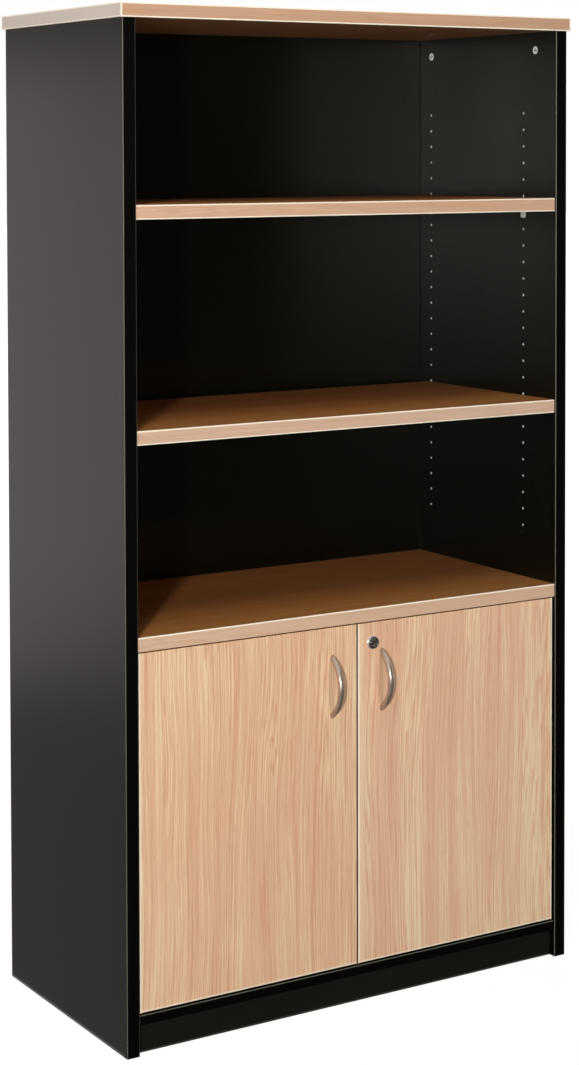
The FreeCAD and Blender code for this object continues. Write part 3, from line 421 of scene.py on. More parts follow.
def beech_group(name):
    """Beech print with the grain along Z: staves, blocks, flames, bands, streaks, hairs and fibres.

    With a = x + y + drift, where drift is slow noise, the staves are the cells of one-dimensional
    Voronoi noise in a / stave width. Each stave has its own random tone, place in the print and
    lean: within it the grain follows g = a + wander + (random - 0.5) times lean times z. Blocks
    are the cells of flat Voronoi noise of g / block width and z times the blocks in a metre.
    Bands, streaks and hairs are noise of g and z, stretched along Z, while patches and fibres are
    noise of the place itself. The flames are fine lines where r = sqrt((a + wander - heart)^2 +
    (depth + tilt z)^2) reaches the next year ring of a log that lies beside the board. The
    weighted sum of them all is the tone, which picks the colour, and the darkest hairs are lines.
    """
    group, given = new_group(
        name,
        {"Vector": "Vector", "Seed": "Vector", "Heart": "Float", "Depth": "Float",
         "Tilt": "Float", "Pitch": "Float", "Pale": "Color", "Middle": "Color", "Rosy": "Color",
         "Line": "Color", "Stave width": "Float", "Contrast": "Float"},
        {"Color": "Color", "Sheen": "Float", "Height": "Float"})
    flat, seed = given["Vector"], given["Seed"]
    contrast = given["Contrast"]
    vector = vector_calc(group, "ADD", flat, seed)
    x, y, z = split(group, flat)
    drift = centred(group, noise(group, vector, (4.0, 4.0, 1.8), 1.0), DRIFT_REACH)
    across = plus(group, plus(group, x, y), drift)

    # staves
    shifted = plus(group, across, split(group, seed)[X])
    place = calc(group, "DIVIDE", shifted, given["Stave width"])
    stave = add_node(group, "ShaderNodeTexVoronoi", {"W": place, "Scale": 1.0},
                     voronoi_dimensions="1D").outputs["Color"]
    stave_tone, stave_place, stave_lean = split_colour(group, stave)
    wander = plus(group,
                  centred(group, noise(group, vector, (26.0, 26.0, 3.2), 1.0), WANDER_REACH),
                  centred(group, noise(group, vector, (60.0, 60.0, 20.0), 1.0), JITTER_REACH))
    wandering = plus(group, across, wander)
    lean = times(group, centred(group, stave_lean, STAVE_LEAN), z)
    grain_x = plus(group, wandering, lean)
    grain = add_node(group, "ShaderNodeCombineXYZ",
                     {"X": grain_x, "Y": times(group, stave_place, STAVE_SHIFT),
                      "Z": z}).outputs[0]
    grain = vector_calc(group, "ADD", grain, seed)

    # blocks of one tone, far longer than wide
    cell = add_node(group, "ShaderNodeCombineXYZ",
                    {"X": calc(group, "DIVIDE", grain_x, BLOCK_WIDTH),
                     "Y": plus(group, times(group, z, BLOCKS_ALONG),
                               times(group, stave_place, BLOCK_SHIFT))}).outputs[0]
    block = add_node(group, "ShaderNodeTexVoronoi",
                     {"Vector": vector_calc(group, "ADD", cell, seed), "Scale": 1.0,
                      "Smoothness": 0.1},
                     voronoi_dimensions="2D", feature="SMOOTH_F1").outputs["Color"]
    block_tone, _, _ = split_colour(group, block)

    # flames, which darken along each ring, break off and show only in places
    from_heart = calc(group, "SUBTRACT", wandering, given["Heart"])
    deep = plus(group, given["Depth"], times(group, z, given["Tilt"]))
    squares = plus(group, times(group, from_heart, from_heart), times(group, deep, deep))
    reach = calc(group, "SQRT", squares)
    uneven = times(group, noise(group, vector, (60.0, 60.0, 1.6), 2.0), RING_SHIFT)
    rings = calc(group, "DIVIDE", reach, given["Pitch"])
    ring = calc(group, "FRACT", plus(group, rings, uneven))
    dark = calc(group, "SUBTRACT", ramp_between(group, ring, *RING_DARKENS),
                ramp_between(group, ring, *RING_ENDS))
    presence = ramp_between(group, noise(group, vector, (22.0, 22.0, 2.4), 2.0), *FLAME_PLACES)
    flames = times(group, centred(group, dark, FLAME_WEIGHT), presence)

    # the tone and its colour
    tone = plus(group, centred(group, stave_tone, STAVE_WEIGHT),
                centred(group, block_tone, BLOCK_WEIGHT))
    tone = plus(group, tone, flames)
    layers = {}
    for layer, (scale, detail, roughness, weight) in PRINT_LAYERS.items():
        followed = vector if layer in STRAIGHT_LAYERS else grain
        layers[layer] = noise(group, followed, scale, detail, roughness)
        tone = plus(group, tone, centred(group, layers[layer], weight))
    tone = times(group, tone, contrast)
    upper = ramp_between(group, tone, 0.0, FULL_TONE)
    lower = ramp_between(group, times(group, tone, -1.0), 0.0, FULL_TONE)
    colour = mix_colours(group, upper, given["Middle"], given["Pale"])
    colour = mix_colours(group, lower, colour, given["Rosy"])
    cracks = times(group, ramp_between(group, layers["hairs"], *CRACK_HAIRS),
                   times(group, contrast, CRACK_SHARE))
    colour = mix_colours(group, cracks, colour, given["Line"])
    fill_outputs(group, {"Color": colour, "Height": layers["fibres"],
                         "Sheen": times(group, layers["streaks"], SHEEN)})
    return group


def melamine_group(name):
    """Charcoal melamine: a cloudy tone, a fine emboss of short lengthwise pores, and its gloss."""
    group, given = new_group(
        name, {"Vector": "Vector", "Seed": "Vector", "Base": "Color", "Roughness": "Float"},
        {"Color": "Color", "Roughness": "Float", "Height": "Float"})
    base = given["Base"]
    vector = vector_calc(group, "ADD", given["Vector"], given["Seed"])
    cloud = noise(group, vector, (4.0, 4.0, 1.6), 3.0)
    pores = noise(group, vector, (900.0, 900.0, 260.0), 2.0, 0.7)
    lift = ramp_between(group, cloud, 0.3, 0.7)
    colour = mix_colours(group, lift, base, tinted(group, base, CLOUD_TINT))
    fleck = times(group, ramp_between(group, pores, 0.62, 0.78), PORE_SHARE)
    colour = mix_colours(group, fleck, colour, opaque(PORE_COLOUR))
    gloss = plus(group, given["Roughness"], centred(group, cloud, CLOUD_GLOSS))
    fill_outputs(group, {"Color": colour, "Roughness": gloss, "Height": pores})
    return group


def metal_group(name):
    """Worn plating: scratches at a scale of their own along each axis, and darker patches."""
    group, given = new_group(
        name, {"Vector": "Vector", "Base": "Color", "Roughness": "Float", "Grain": "Vector"},
        {"Color": "Color", "Roughness": "Float", "Height": "Float"})
    vector, base = given["Vector"], given["Base"]
    scratches = noise(group, vector, given["Grain"], 2.0, 0.6)
    dull = noise(group, vector, (130.0, 130.0, 130.0), 2.0)
    colour = mix_colours(group, ramp_between(group, dull, 0.45, 0.8), base,
                         tinted(group, base, WORN_TINT))
    gloss = plus(group, given["Roughness"], centred(group, scratches, SCRATCH_GLOSS))
    fill_outputs(group, {"Color": colour, "Height": scratches,
                         "Roughness": calc(group, "MAXIMUM", gloss, LEAST_GLOSS)})
    return group


def empty_tree(owner):
    """Switches on the nodes of a material or world and empties its tree."""
    owner.use_nodes = True
    owner.node_tree.nodes.clear()
    return owner.node_tree


def new_material(name, shine=None):
    """A material, its tree and its Principled shader; shine fills sockets that are even."""
    material = bpy.data.materials.new(name)
    tree = empty_tree(material)
    shader = add_node(tree, "ShaderNodeBsdfPrincipled", shine)
    add_node(tree, "ShaderNodeOutputMaterial", {"Surface": shader.outputs["BSDF"]})
    return material, tree, shader


def mix_shaders(tree, share, first, second):
    """The mix of two shader nodes; gives its output socket."""
    return add_node(tree, "ShaderNodeMixShader",
                    {0: share, 1: first.outputs[0], 2: second.outputs[0]}).outputs[0]


def dress(tree, shader, relief, colour, gloss, height):
    """Links a finish's colour, roughness and height to its shader."""
    strength, distance = RELIEFS[relief]
    bump = add_node(tree, "ShaderNodeBump",
                    {"Height": height, "Strength": strength, "Distance": distance})
    for socket, value in (("Base Color", colour), ("Roughness", gloss),
                          ("Normal", bump.outputs["Normal"])):
        tree.links.new(value, shader.inputs[socket])


def object_vector(tree):
    return add_node(tree, "ShaderNodeTexCoord").outputs["Object"]


def object_axis(tree, axis):
    """One object coordinate."""
    return split(tree, object_vector(tree))[axis]


def grain_vector(tree, along_x=False):
    """Object coordinates, turned so that the grain runs along Z."""
    if not along_x:
        return object_vector(tree)
    turn = (0.0, math.radians(-90), 0.0)
    return add_node(tree, "ShaderNodeMapping",
                    {"Vector": object_vector(tree), "Rotation": turn}).outputs[0]


def finish_node(name, material):
    """Puts a material in every slot of a node's object."""
    piece = NODES[name]
    if not piece.material_slots:
        raise RuntimeError(f"{name} has no material slot")
    for material_slot in piece.material_slots:
        material_slot.link = "OBJECT"
        material_slot.material = material


def node_box(name):
    """A node's middle and half size."""
    low, high = (np.array(corner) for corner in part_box(name))
    return (low + high) / 2, (high - low) / 2


def masks_for(tree, name, arris_width, ignored=()):
    """The board masks of a node's box; an ignored axis and the node's plain sides are endless."""
    middle, half = node_box(name)
    for axis in ignored:
        half[axis] = ENDLESS
    for axis, sign in PLAIN_SIDES.get(name, ()):
        middle[axis] += sign * ENDLESS
        half[axis] += ENDLESS
    return place_group(tree, "board_masks", board_mask_group,
                       {"Vector": object_vector(tree), "Middle": tuple(middle),
                        "Half size": tuple(half), "Arris width": arris_width})


def chipboard(tree, colour):
    """Raw board: coarse, darker flecks on its colour."""
    flecks = noise(tree, object_vector(tree), (420.0, 420.0, 420.0), 3.0, 0.7)
    return mix_colours(tree, ramp_between(tree, flecks, 0.35, 0.7),
                       tinted(tree, opaque(colour), FLECK_TINT), opaque(colour))


def seed_of(name):
    """A place in the print that differs from board to board, worked out from the node's name."""
    total = sum((i + 1) * ord(letter) for i, letter in enumerate(name))
    return (total % 17 * 0.37, total % 13 * 0.41, total % 11 * 0.53)


def toned(settings, tone):
    """The four colours of the beech print, each multiplied by a tone."""
    colours = (settings.pale, settings.middle, settings.rosy, settings.line)
    return [np.array(colour) * tone for colour in colours]


def beech_print(tree, name, along_x, colours, stave_width, contrast, heart=PLAIN_HEART):
    """The beech print of one board, in four colours; heart is where its log's heart runs."""
    pale, middle, rosy, line = (opaque(colour) for colour in colours)
    across, depth, tilt = heart
    return place_group(tree, "beech_print", beech_group, {
        "Vector": grain_vector(tree, along_x), "Seed": seed_of(name), "Heart": across,
        "Depth": depth, "Tilt": tilt, "Pitch": RING_PITCH, "Pale": pale, "Middle": middle,
        "Rosy": rosy, "Line": line, "Stave width": stave_width, "Contrast": contrast})


def melamine(tree, name, along_x, base, roughness):
    return place_group(tree, "charcoal_melamine", melamine_group,
                       {"Vector": grain_vector(tree, along_x), "Seed": seed_of(name),
                        "Base": opaque(base), "Roughness": roughness})


def plating(tree, vector, base, metal_name):
    """Plated metal, with the roughness and scratches of one of METALS."""
    roughness, grain, _ = METALS[metal_name]
    return place_group(tree, "plated_metal", metal_group,
                       {"Vector": vector, "Base": opaque(base), "Roughness": roughness,
                        "Grain": grain})


# ---- finishes
def painted_rim_highlight(tree, door, colour, settings):
    """A painted highlight along the outer and lower sides of a door's front."""
    rim = masks_for(tree, f"{door}_edging", RIM_HIGHLIGHT_WIDTH).outputs["Arris"]
    return mix_colours(tree, times(tree, rim, RIM_HIGHLIGHT_SHARE), colour, opaque(settings.arris))


def beech_board(name, along_x, settings, raw, tone=(1, 1, 1), heart=PLAIN_HEART, under=None):
    """Beech print on a board, with raw board in its holes; under darkens its underside as painted
    shade.
    """
    material, tree, shader = new_material(f"beech_{name}")
    colours = toned(settings, tone)
    print_node = beech_print(tree, name, along_x, colours, settings.stave_width, 1.0, heart)
    hole = masks_for(tree, name, 0.0).outputs["Hole"]
    middle, half = node_box(name)
    colour = print_node.outputs["Color"]
    if name == "right_door":
        near, far = middle[X] - half[X] + np.array(PALE_BAND)
        band = rest_of(tree, ramp_between(tree, object_axis(tree, X), near, far))
        share = times(tree, band, PALE_BAND_SHARE)
        colour = mix_colours(tree, share, colour, opaque(colours[0]))
    if name in DOORS:
        # painted highlight along the door's rim
        colour = painted_rim_highlight(tree, name, colour, settings)
    # painted shade: the board's lower half is darkened by the under tone
    if under:
        shaded_underside = calc(tree, "LESS_THAN", object_axis(tree, Z), middle[Z])
        colour = mix_colours(tree, shaded_underside, colour, tinted(tree, colour, under))
    colour = mix_colours(tree, hole, colour, chipboard(tree, raw))
    gloss = plus(tree, settings.roughness, print_node.outputs["Sheen"])
    gloss = calc(tree, "MAXIMUM", gloss, times(tree, hole, DULL))
    dress(tree, shader, "print", colour, gloss, print_node.outputs["Height"])
    finish_node(name, material)


def shelf_edging(name, settings):
    """Printed edging of a shelf or of the top, with a painted highlight along its rounded arrises
    and a painted reflection paling the top's ends.
    """
    material, tree, shader = new_material(f"beech_{name}")
    middle = np.array(settings.edging) * EDGING_TONES[name]
    colours = [middle * shade for shade in EDGING_SHADES]
    print_node = beech_print(tree, name, True, colours, EDGING_STAVE, EDGING_CONTRAST)
    all_round = name == "top_edging"
    line = masks_for(tree, name, SHELF_ARRIS_HIGHLIGHT, () if all_round else (X,)).outputs["Arris"]
    colour = print_node.outputs["Color"]
    # painted reflection at the ends of the top's edging
    if all_round:
        start, full = node_box(name)[1][X] - np.array(TOP_END_REFLECTION)
        at_end = ramp_between(tree, calc(tree, "ABSOLUTE", object_axis(tree, X)), start, full)
        share = times(tree, at_end, TOP_END_REFLECTION_SHARE)
        colour = mix_colours(tree, share, colour, opaque(settings.painted_end_reflection))
    # painted highlight along the arrises
    colour = mix_colours(tree, line, colour, opaque(settings.arris))
    gloss = plus(tree, settings.roughness, print_node.outputs["Sheen"])
    dress(tree, shader, "printed_edging", colour, gloss, print_node.outputs["Height"])
    finish_node(name, material)


def door_edging(door, settings, tone, heart):
    """Edging that carries the door's print on its front and is painted dark along its narrow sides,
    as shade in the gaps.
    """
    name = f"{door}_edging"
    material, tree, shader = new_material(f"beech_{name}", DOOR_EDGING_SHINE)
    colours = toned(settings, tone)
    print_node = beech_print(tree, door, False, colours, settings.stave_width, 1.0, heart)
    middle, half = node_box(name)
    # painted shade on the narrow sides, back from the front
    start, full = middle[Y] - half[Y] + np.array(DOOR_GAP_SHADE)
    gap_shade = ramp_between(tree, object_axis(tree, Y), start, full)
    # painted highlight along the door's rim
    colour = painted_rim_highlight(tree, door, print_node.outputs["Color"], settings)
    colour = mix_colours(tree, gap_shade, colour, opaque(settings.door_side_shade))
    gloss = plus(tree, settings.roughness, print_node.outputs["Sheen"])
    gloss = calc(tree, "MAXIMUM", gloss, times(tree, gap_shade, DOOR_SIDE_DULL))
    dress(tree, shader, "printed_edging", colour, gloss, print_node.outputs["Height"])
    finish_node(name, material)


def charcoal_board(name, along_x, base, settings, seam=0.0):
    """Charcoal melamine, with raw board in its holes; a seam of that width round it is dull."""
    material, tree, shader = new_material(f"charcoal_{name}", MELAMINE_SHINE)
    surface = melamine(tree, name, along_x, base, settings.roughness)
    masks = masks_for(tree, name, seam)
    dull = masks.outputs["Hole"]
    raw = chipboard(tree, settings.chipboard)
    colour = mix_colours(tree, dull, surface.outputs["Color"], raw)
    if seam:
        dull = calc(tree, "MAXIMUM", dull, masks.outputs["Arris"])
    gloss = calc(tree, "MAXIMUM", surface.outputs["Roughness"], times(tree, dull, DULL))
    dress(tree, shader, "melamine", colour, gloss, surface.outputs["Height"])
    finish_node(name, material)


def black_edging(name, along_x, ignored, settings):
    """Black edging with a painted highlight along its rounded arrises."""
    material, tree, shader = new_material(f"black_{name}", EDGING_SHINE)
    surface = melamine(tree, name, along_x, settings.edging, BLACK_GLOSS)
    line = masks_for(tree, name, BLACK_ARRIS_HIGHLIGHT, ignored).outputs["Arris"]
    colour = mix_colours(tree, times(tree, line, BLACK_ARRIS_HIGHLIGHT_SHARE),
                         surface.outputs["Color"], opaque(settings.arris))
    dress(tree, shader, "black_edging", colour, surface.outputs["Roughness"],
          surface.outputs["Height"])
    finish_node(name, material)


def metal(name, colour, uv_map=None, shade_past_x=None):
    """Plated metal, scratched on its UV map or its place; where |X| is past shade_past_x it is
    painted dark, as shade in the recess.
    """
    material, tree, shader = new_material(name, {"Metallic": METALS[name][2]})
    vector = (add_node(tree, "ShaderNodeUVMap", uv_map=uv_map).outputs[0] if uv_map
              else object_vector(tree))
    plate = plating(tree, vector, colour, name)
    plated = plate.outputs["Color"]
    # painted shade in the recesses
    if shade_past_x:
        in_recess_shade = calc(tree, "GREATER_THAN", calc(tree, "ABSOLUTE", object_axis(tree, X)), shade_past_x)
        plated = mix_colours(tree, in_recess_shade, plated, opaque(RECESS_SHADE_COLOUR))
    dress(tree, shader, "metal", plated, plate.outputs["Roughness"], plate.outputs["Height"])
    return material


def tarnished(name, settings, face_radius):
    """Plated lock whose face, out to a radius from its plug's axis, has gone dark in patches."""
    material, tree, shader = new_material(name, {"Metallic": METALS["chrome"][2]})
    vector = object_vector(tree)
    offset = vector_calc(tree, "SUBTRACT", vector, tuple(node_box("lock_plug")[0]))
    radius = length(tree, vector_calc(tree, "MULTIPLY", offset, (1.0, 0.0, 1.0)))
    face = rest_of(tree, ramp_between(tree, radius, face_radius - FACE_FADE, face_radius))
    patches = ramp_between(tree, noise(tree, vector, (430.0, 430.0, 430.0), 2.0), *TARNISH)
    plate = plating(tree, vector, settings.chrome, "chrome")
    colour = mix_colours(tree, times(tree, face, patches), plate.outputs["Color"],
                         opaque(settings.dark_chrome))
    dress(tree, shader, "metal", colour, plate.outputs["Roughness"], plate.outputs["Height"])
    return material


# ---- meshes
def grid_mesh(name, points):
    """A closed tube from an array of rings, points[ring, place, xyz], with flat caps."""
    rings, around, _ = points.shape
    ring, place = np.meshgrid(np.arange(rings - 1), np.arange(around), indexing="ij")
    start, following = ring * around, (place + 1) % around
    corners = (start + place, start + following,
               start + around + following, start + around + place)
    faces = np.stack(corners, axis=-1).reshape(-1, 4).tolist()
    faces.append(np.arange(around)[::-1].tolist())
    faces.append((np.arange(around) + (rings - 1) * around).tolist())
    mesh = bpy.data.meshes.new(name)
    mesh.from_pydata(points.reshape(-1, 3).tolist(), [], faces)
    along = np.repeat(np.linspace(0.0, 1.0, rings), around)
    turn = np.tile(np.arange(around) / around, rings)
    layer = mesh.uv_layers.new(name="surface")
    vertex_of = np.zeros(len(mesh.loops), np.int32)
    mesh.loops.foreach_get("vertex_index", vertex_of)
    layer.data.foreach_set("uv", np.stack([turn[vertex_of], along[vertex_of]], axis=-1).ravel())
    mesh.shade_smooth()
    mesh.update()
    return mesh


def bow_handle_points(low, high, radius, rings=97, around=40):
    """A round rod on an arc that meets the door's face at both ends and fills the box low to high.

    The rod's centre line is an arc of radius bend in an upright plane. Its middle stands rise in
    front of the face. The rod's outer line, of radius bend + radius, meets the face at half the
    handle's height, so half^2 = (bend + radius)^2 - (bend - rise)^2, which gives bend. A point at
    turn u round the rod and angle v along the arc is at bend + radius cos(u) from the arc's
    middle. Each line of constant u stops where it meets the face, at cos(v) = (bend - rise) /
    that reach.
    """
    middle_x, height = (low[X] + high[X]) / 2, (low[Z] + high[Z]) / 2
    rise = high[Y] - low[Y] - radius
    half = (high[Z] - low[Z]) / 2
    bend = (half ** 2 - radius ** 2 + rise ** 2) / (2 * (rise + radius))
    turn = np.linspace(0, 2 * np.pi, around, endpoint=False)[None, :]
    reach = bend + radius * np.cos(turn)
    last = np.arccos((bend - rise) / reach)
    angle = np.linspace(-1, 1, rings)[:, None] * last
    x = middle_x + radius * np.sin(turn) * np.ones_like(angle)
    y = high[Y] + (bend - rise) - reach * np.cos(angle)
    z = height + reach * np.sin(angle)
    return np.stack([x, y, z], axis=-1)


def add_piece(name, mesh, material):
    mesh.materials.append(material)
    piece = bpy.data.objects.new(name, mesh)
    bpy.context.scene.collection.objects.link(piece)
    return piece


def flat_piece(name, corners, material):
    """One flat face, from its four corners going round."""
    mesh = bpy.data.meshes.new(name)
    mesh.from_pydata(corners, [], [(0, 1, 2, 3)])
    return add_piece(name, mesh, material)


# ---- the work, one operator a group of like pieces
class BOOKCASE_OT_beech_boards(bpy.types.Operator):
    """Give the doors, the shelves and the top their beech print"""

    bl_idname = "bookcase.beech_boards"
    bl_label = "Beech boards"

    def execute(self, context):
        settings = context.scene.bookcase_beech
        raw = context.scene.bookcase_charcoal.chipboard
        for name in DOORS:
            tone = getattr(settings, name)
            beech_board(name, False, settings, raw, tone, HEARTS[name])
        for name in BEECH_LEVEL:
            # the shelves take the shelf tone, a painted shade
            beech_board(name, True, settings, raw, settings.shelf)
        # the top's underside gets painted shade
        beech_board("top_panel", True, settings, raw, under=settings.top_underside_shade)
        return {"FINISHED"}


class BOOKCASE_OT_beech_edging(bpy.types.Operator):
    """Give the doors', shelves' and top's edging its print and painted highlights along its arrises
    """

    bl_idname = "bookcase.beech_edging"
    bl_label = "Beech edging"

    def execute(self, context):
        settings = context.scene.bookcase_beech
        for door in DOORS:
            door_edging(door, settings, getattr(settings, door), HEARTS[door])
        for name in EDGING_TONES:
            shelf_edging(name, settings)
        return {"FINISHED"}


class BOOKCASE_OT_charcoal_boards(bpy.types.Operator):
    """Give the side panels, the back, the base and the kick boards their melamine"""

    bl_idname = "bookcase.charcoal_boards"
    bl_label = "Charcoal boards"

    def execute(self, context):
        settings = context.scene.bookcase_charcoal
        # the upright panels take the darkened melamine, a painted shade
        for name in CHARCOAL_UPRIGHT:
            seam = BACK_SEAM if name == "back_panel" else 0.0
            charcoal_board(name, False, settings.base, settings, seam)
        for name in CHARCOAL_LEVEL:
            charcoal_board(name, True, settings.plinth, settings)
        for name in BLACK_UPRIGHT:
            black_edging(name, False, (Z,), settings)
        black_edging("base_panel_edging", True, (X,), settings)
        return {"FINISHED"}


class BOOKCASE_OT_bow_handles(bpy.types.Operator):
    """Sweep the two bow handles and finish them in satin nickel"""

    bl_idname = "bookcase.bow_handles"
    bl_label = "Bow handles"

    def execute(self, context):
        settings = context.scene.bookcase_metal
        satin = metal("satin_nickel", settings.satin_nickel, uv_map="surface")
        for side in ("left", "right"):
            low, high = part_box(f"{side}_handle")
            points = bow_handle_points(low, high, settings.handle_rod_radius)
            mesh = grid_mesh(f"{side}_bow_handle", points)
            handle = add_piece(f"{side}_bow_handle", mesh, satin)
            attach(handle, f"{side}_door")
            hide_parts(f"{side}_handle")
        return {"FINISHED"}


class BOOKCASE_OT_fittings(bpy.types.Operator):
    """Finish the lock, hinges, pins, cams, screws, bolts and dowels"""

    bl_idname = "bookcase.fittings"
    bl_label = "Fittings"

    def execute(self, context):
        settings = context.scene.bookcase_metal
        nickel = metal("bright_nickel", settings.nickel)
        plated = metal("zinc_plate", settings.zinc)
        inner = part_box("right_side_panel")[0][X]
        # the cam discs' slots get painted shade
        casting = metal("zinc_casting", settings.casting, shade_past_x=inner + CAM_SLOT_SHADE)
        finish_node("lock_housing", tarnished("chrome_rim", settings, RIM_FACE))
        finish_node("lock_plug", tarnished("lock_plug_face", settings, PLUG_FACE))
        finish_node("cam_discs", casting)
        for name in NICKEL_PARTS:
            finish_node(name, nickel)
        for name in ZINC_PLATED:
            finish_node(name, plated)
        beech = context.scene.bookcase_beech
        beech_board("dowels", True, beech, beech.pale)
        return {"FINISHED"}


class BOOKCASE_OT_studio(bpy.types.Operator):
    """Set up the floor, the lights, the room and the camera"""

    bl_idname = "bookcase.studio"
    bl_label = "Studio"

    def execute(self, context):
        settings = context.scene.bookcase_studio
        make_camera(context.scene)
        make_floor(settings)
        make_cards()
        make_room(context.scene, settings)
        make_lights(settings)
        context.scene.view_settings.view_transform = "Standard"
        return {"FINISHED"}


# ---- the studio
# camera, in metres, degrees and millimetres
CAMERA_PLACE = (-2.25131, -3.54583, 1.548)
CAMERA_TURN = (87.888, 0.1596, -31.4015)
CAMERA_LENS = 75.6591
CAMERA_SENSOR = (29.5, 36.0)
CAMERA_SHIFT = (0.03358, -0.28)
# lights: place, aim, width and length, and whether they show in reflections
LIGHTS = {"key": ((-4.5, -5.362, 1.6), (0.0, 0.0, 1.6), (0.35, 0.8), True),
          "overhead": ((-1.3, -1.35, 4.0), (0.0, 0.0, 1.0), (0.4, 2.0), False),
          "fill": ((0.3, -5.0, 1.0), (0.0, 0.0, 1.0), (2.0, 1.6), False)}
# cards: brightness, whether they light dull surfaces too, and corners going round
CARDS = {
    "side_card": (0.05, False, ((-0.6, -4.6, -0.2), (4.6, -2.2, -0.2), (4.6, -2.2, 3.6),
                                (-0.6, -4.6, 3.6))),
    "front_floor_card": (0.035, True, ((-2.0, -3.6, 0.002), (4.0, -3.6, 0.002),
                                       (4.0, -0.205, 0.002), (-2.0, -0.205, 0.002))),
    "left_floor_card": (0.32, False, ((-2.2, -1.0, 0.003), (-0.479, -1.0, 0.003),
                                      (-0.479, 2.4, 0.003), (-2.2, 2.4, 0.003))),
    "far_floor_card": (0.8, False, ((-5.6, -1.0, 0.002), (-2.2, -1.0, 0.002),
                                    (-0.5, 4.4, 0.002), (-5.6, 1.8, 0.002))),
    "rear_left_low_card": (0.98, False, ((-5.2, 1.9, 0.0), (0.0, 4.9, 0.0), (0.0, 4.9, 1.9),
                                         (-5.2, 1.9, 1.9))),
    "rear_left_high_card": (0.26, False, ((-5.2, 1.9, 1.9), (0.0, 4.9, 1.9), (0.0, 4.9, 5.0),
                                          (-5.2, 1.9, 5.0))),
}
CARD_TINT = (1.0, 0.91, 0.92)
WHITE = (1.0, 1.0, 1.0, 1.0)
ROOM_TINT = (1.0, 0.965, 0.955, 1.0)
ROOM_FADE = (-0.1, 0.5)  # the room's light rises between these shares of straight back
FLOOR_REACH = 40.0
FLOOR_GLOW = 1.18
FOOT_WHITENESS = 0.8  # share of white at the bookcase's foot
FOOT_FADE = (0.9, 2.4)  # distances between which it rises to all white


def make_camera(scene):
    data = bpy.data.cameras.new("camera")
    data.sensor_fit = "VERTICAL"
    data.sensor_width, data.sensor_height = CAMERA_SENSOR
    data.lens = CAMERA_LENS
    data.shift_x, data.shift_y = CAMERA_SHIFT
    data.clip_end = 100.0
    camera = bpy.data.objects.new("camera", data)
    camera.location = CAMERA_PLACE
    camera.rotation_euler = [math.radians(turn) for turn in CAMERA_TURN]
    scene.collection.objects.link(camera)
    scene.camera = camera


def background_rays(tree):
    """1 for the rays that are shown the white background: camera, mirror and see-through rays."""
    path = add_node(tree, "ShaderNodeLightPath")
    direct = calc(tree, "MAXIMUM", path.outputs["Is Camera Ray"], path.outputs["Is Glossy Ray"])
    return calc(tree, "MAXIMUM", direct, path.outputs["Is Transmission Ray"])


def make_floor(settings):
    """A pale floor that looks white, with a faint share of the bookcase's shadow at its foot."""
    material = bpy.data.materials.new("pale_floor")
    tree = empty_tree(material)
    away = length(tree, vector_calc(tree, "MULTIPLY", object_vector(tree), (1.0, 1.0, 0.0)))
    rise = times(tree, ramp_between(tree, away, *FOOT_FADE), 1.0 - FOOT_WHITENESS)
    whiteness = plus(tree, FOOT_WHITENESS, rise)
    plain = add_node(tree, "ShaderNodeBsdfDiffuse", {"Color": opaque(settings.floor)})
    white = add_node(tree, "ShaderNodeEmission", {"Color": WHITE, "Strength": FLOOR_GLOW})
    share = times(tree, background_rays(tree), whiteness)
    mixed = mix_shaders(tree, share, plain, white)
    add_node(tree, "ShaderNodeOutputMaterial", {"Surface": mixed})
    signs = ((-1, -1), (1, -1), (1, 1), (-1, 1))
    corners = [(x * FLOOR_REACH, y * FLOOR_REACH, 0) for x, y in signs]
    floor = flat_piece("floor", corners, material)


def make_cards():
    """Cards out of the camera's sight that set what the melamine reflects."""
    for name, (level, soft, corners) in CARDS.items():
        material = bpy.data.materials.new(name)
        tree = empty_tree(material)
        colour = opaque(level * share for share in CARD_TINT)
        glow = add_node(tree, "ShaderNodeEmission", {"Color": colour, "Strength": 1.0})
        add_node(tree, "ShaderNodeOutputMaterial", {"Surface": glow.outputs[0]})
        card = flat_piece(name, corners, material)
        card.visible_camera = False
        card.visible_diffuse = soft
        card.visible_transmission = False
        card.visible_volume_scatter = False
        card.visible_shadow = False


def make_room(scene, settings):
    """White behind the bookcase; its soft light comes from the rear and none from the front."""
    world = bpy.data.worlds.new("room")
    tree = empty_tree(world)
    direction = add_node(tree, "ShaderNodeTexCoord").outputs["Generated"]
    back = ramp_between(tree, split(tree, direction)[Y], *ROOM_FADE)
    level = times(tree, back, settings.room_level)
    room = add_node(tree, "ShaderNodeBackground", {"Color": ROOM_TINT, "Strength": level})
    white = add_node(tree, "ShaderNodeBackground", {"Color": WHITE, "Strength": 1.0})
    mixed = mix_shaders(tree, background_rays(tree), room, white)
    add_node(tree, "ShaderNodeOutputWorld", {"Surface": mixed})
    scene.world = world


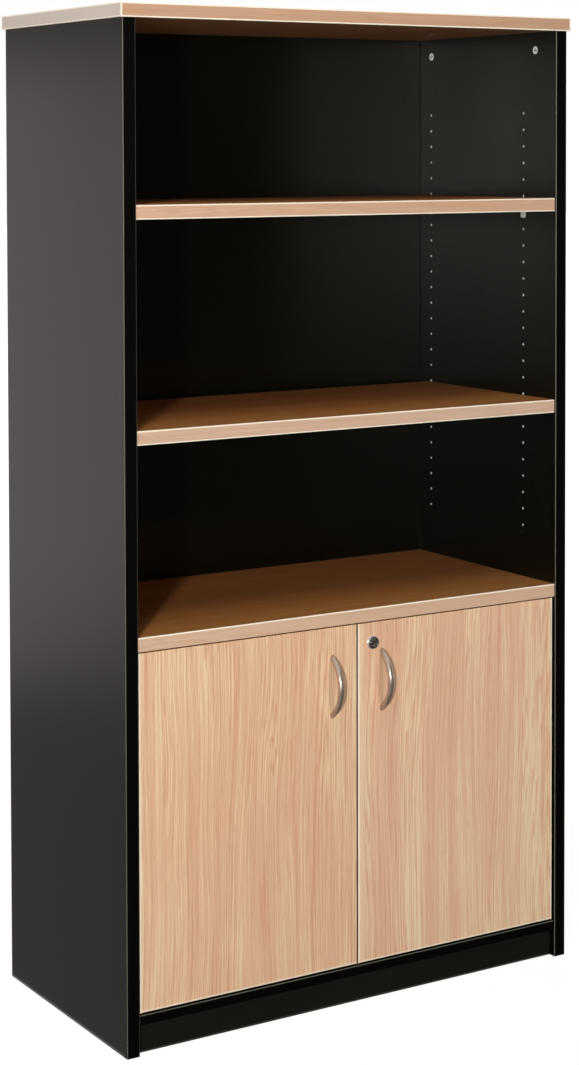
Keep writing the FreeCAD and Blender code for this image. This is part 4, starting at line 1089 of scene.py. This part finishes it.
def make_lights(settings):
    """The area lights, each turned to its aim."""
    for kind, (place, aim, size, glossy) in LIGHTS.items():
        data = bpy.data.lights.new(f"{kind}_light", "AREA")
        data.shape = "RECTANGLE"
        data.size, data.size_y = size
        data.energy = getattr(settings, f"{kind}_power")
        light = bpy.data.objects.new(f"{kind}_light", data)
        light.location = place
        light.rotation_euler = (Vector(aim) - Vector(place)).to_track_quat("-Z", "Y").to_euler()
        light.visible_glossy = glossy
        light.visible_camera = False
        bpy.context.scene.collection.objects.link(light)


OPERATORS = (BOOKCASE_OT_studio, BOOKCASE_OT_beech_boards, BOOKCASE_OT_beech_edging,
             BOOKCASE_OT_charcoal_boards, BOOKCASE_OT_bow_handles, BOOKCASE_OT_fittings)
SETTINGS = (("bookcase_beech", BeechPrint), ("bookcase_charcoal", CharcoalBoard),
            ("bookcase_metal", MetalFittings), ("bookcase_studio", StudioSettings))


class BOOKCASE_PT_panel(bpy.types.Panel):
    """The bookcase's settings and operators"""

    bl_idname = "BOOKCASE_PT_panel"
    bl_label = "Bookcase"
    bl_space_type = "VIEW_3D"
    bl_region_type = "UI"
    bl_category = "Bookcase"

    def draw(self, context):
        for attribute, group in SETTINGS:
            box = self.layout.box()
            box.label(text=group.__doc__)
            for key in group.__annotations__:
                box.prop(getattr(context.scene, attribute), key)
        for operator in OPERATORS:
            self.layout.operator(operator.bl_idname)


def register():
    for attribute, group in SETTINGS:
        bpy.utils.register_class(group)
        setattr(bpy.types.Scene, attribute, bpy.props.PointerProperty(type=group))
    for operator in OPERATORS:
        bpy.utils.register_class(operator)
    bpy.utils.register_class(BOOKCASE_PT_panel)


def unregister():
    bpy.utils.unregister_class(BOOKCASE_PT_panel)
    for operator in reversed(OPERATORS):
        bpy.utils.unregister_class(operator)
    for attribute, group in reversed(SETTINGS):
        delattr(bpy.types.Scene, attribute)
        bpy.utils.unregister_class(group)


def main():
    register()
    bpy.ops.bookcase.studio()
    bpy.ops.bookcase.beech_boards()
    bpy.ops.bookcase.beech_edging()
    bpy.ops.bookcase.charcoal_boards()
    bpy.ops.bookcase.bow_handles()
    bpy.ops.bookcase.fittings()


if __name__ == "__main__":
    main()
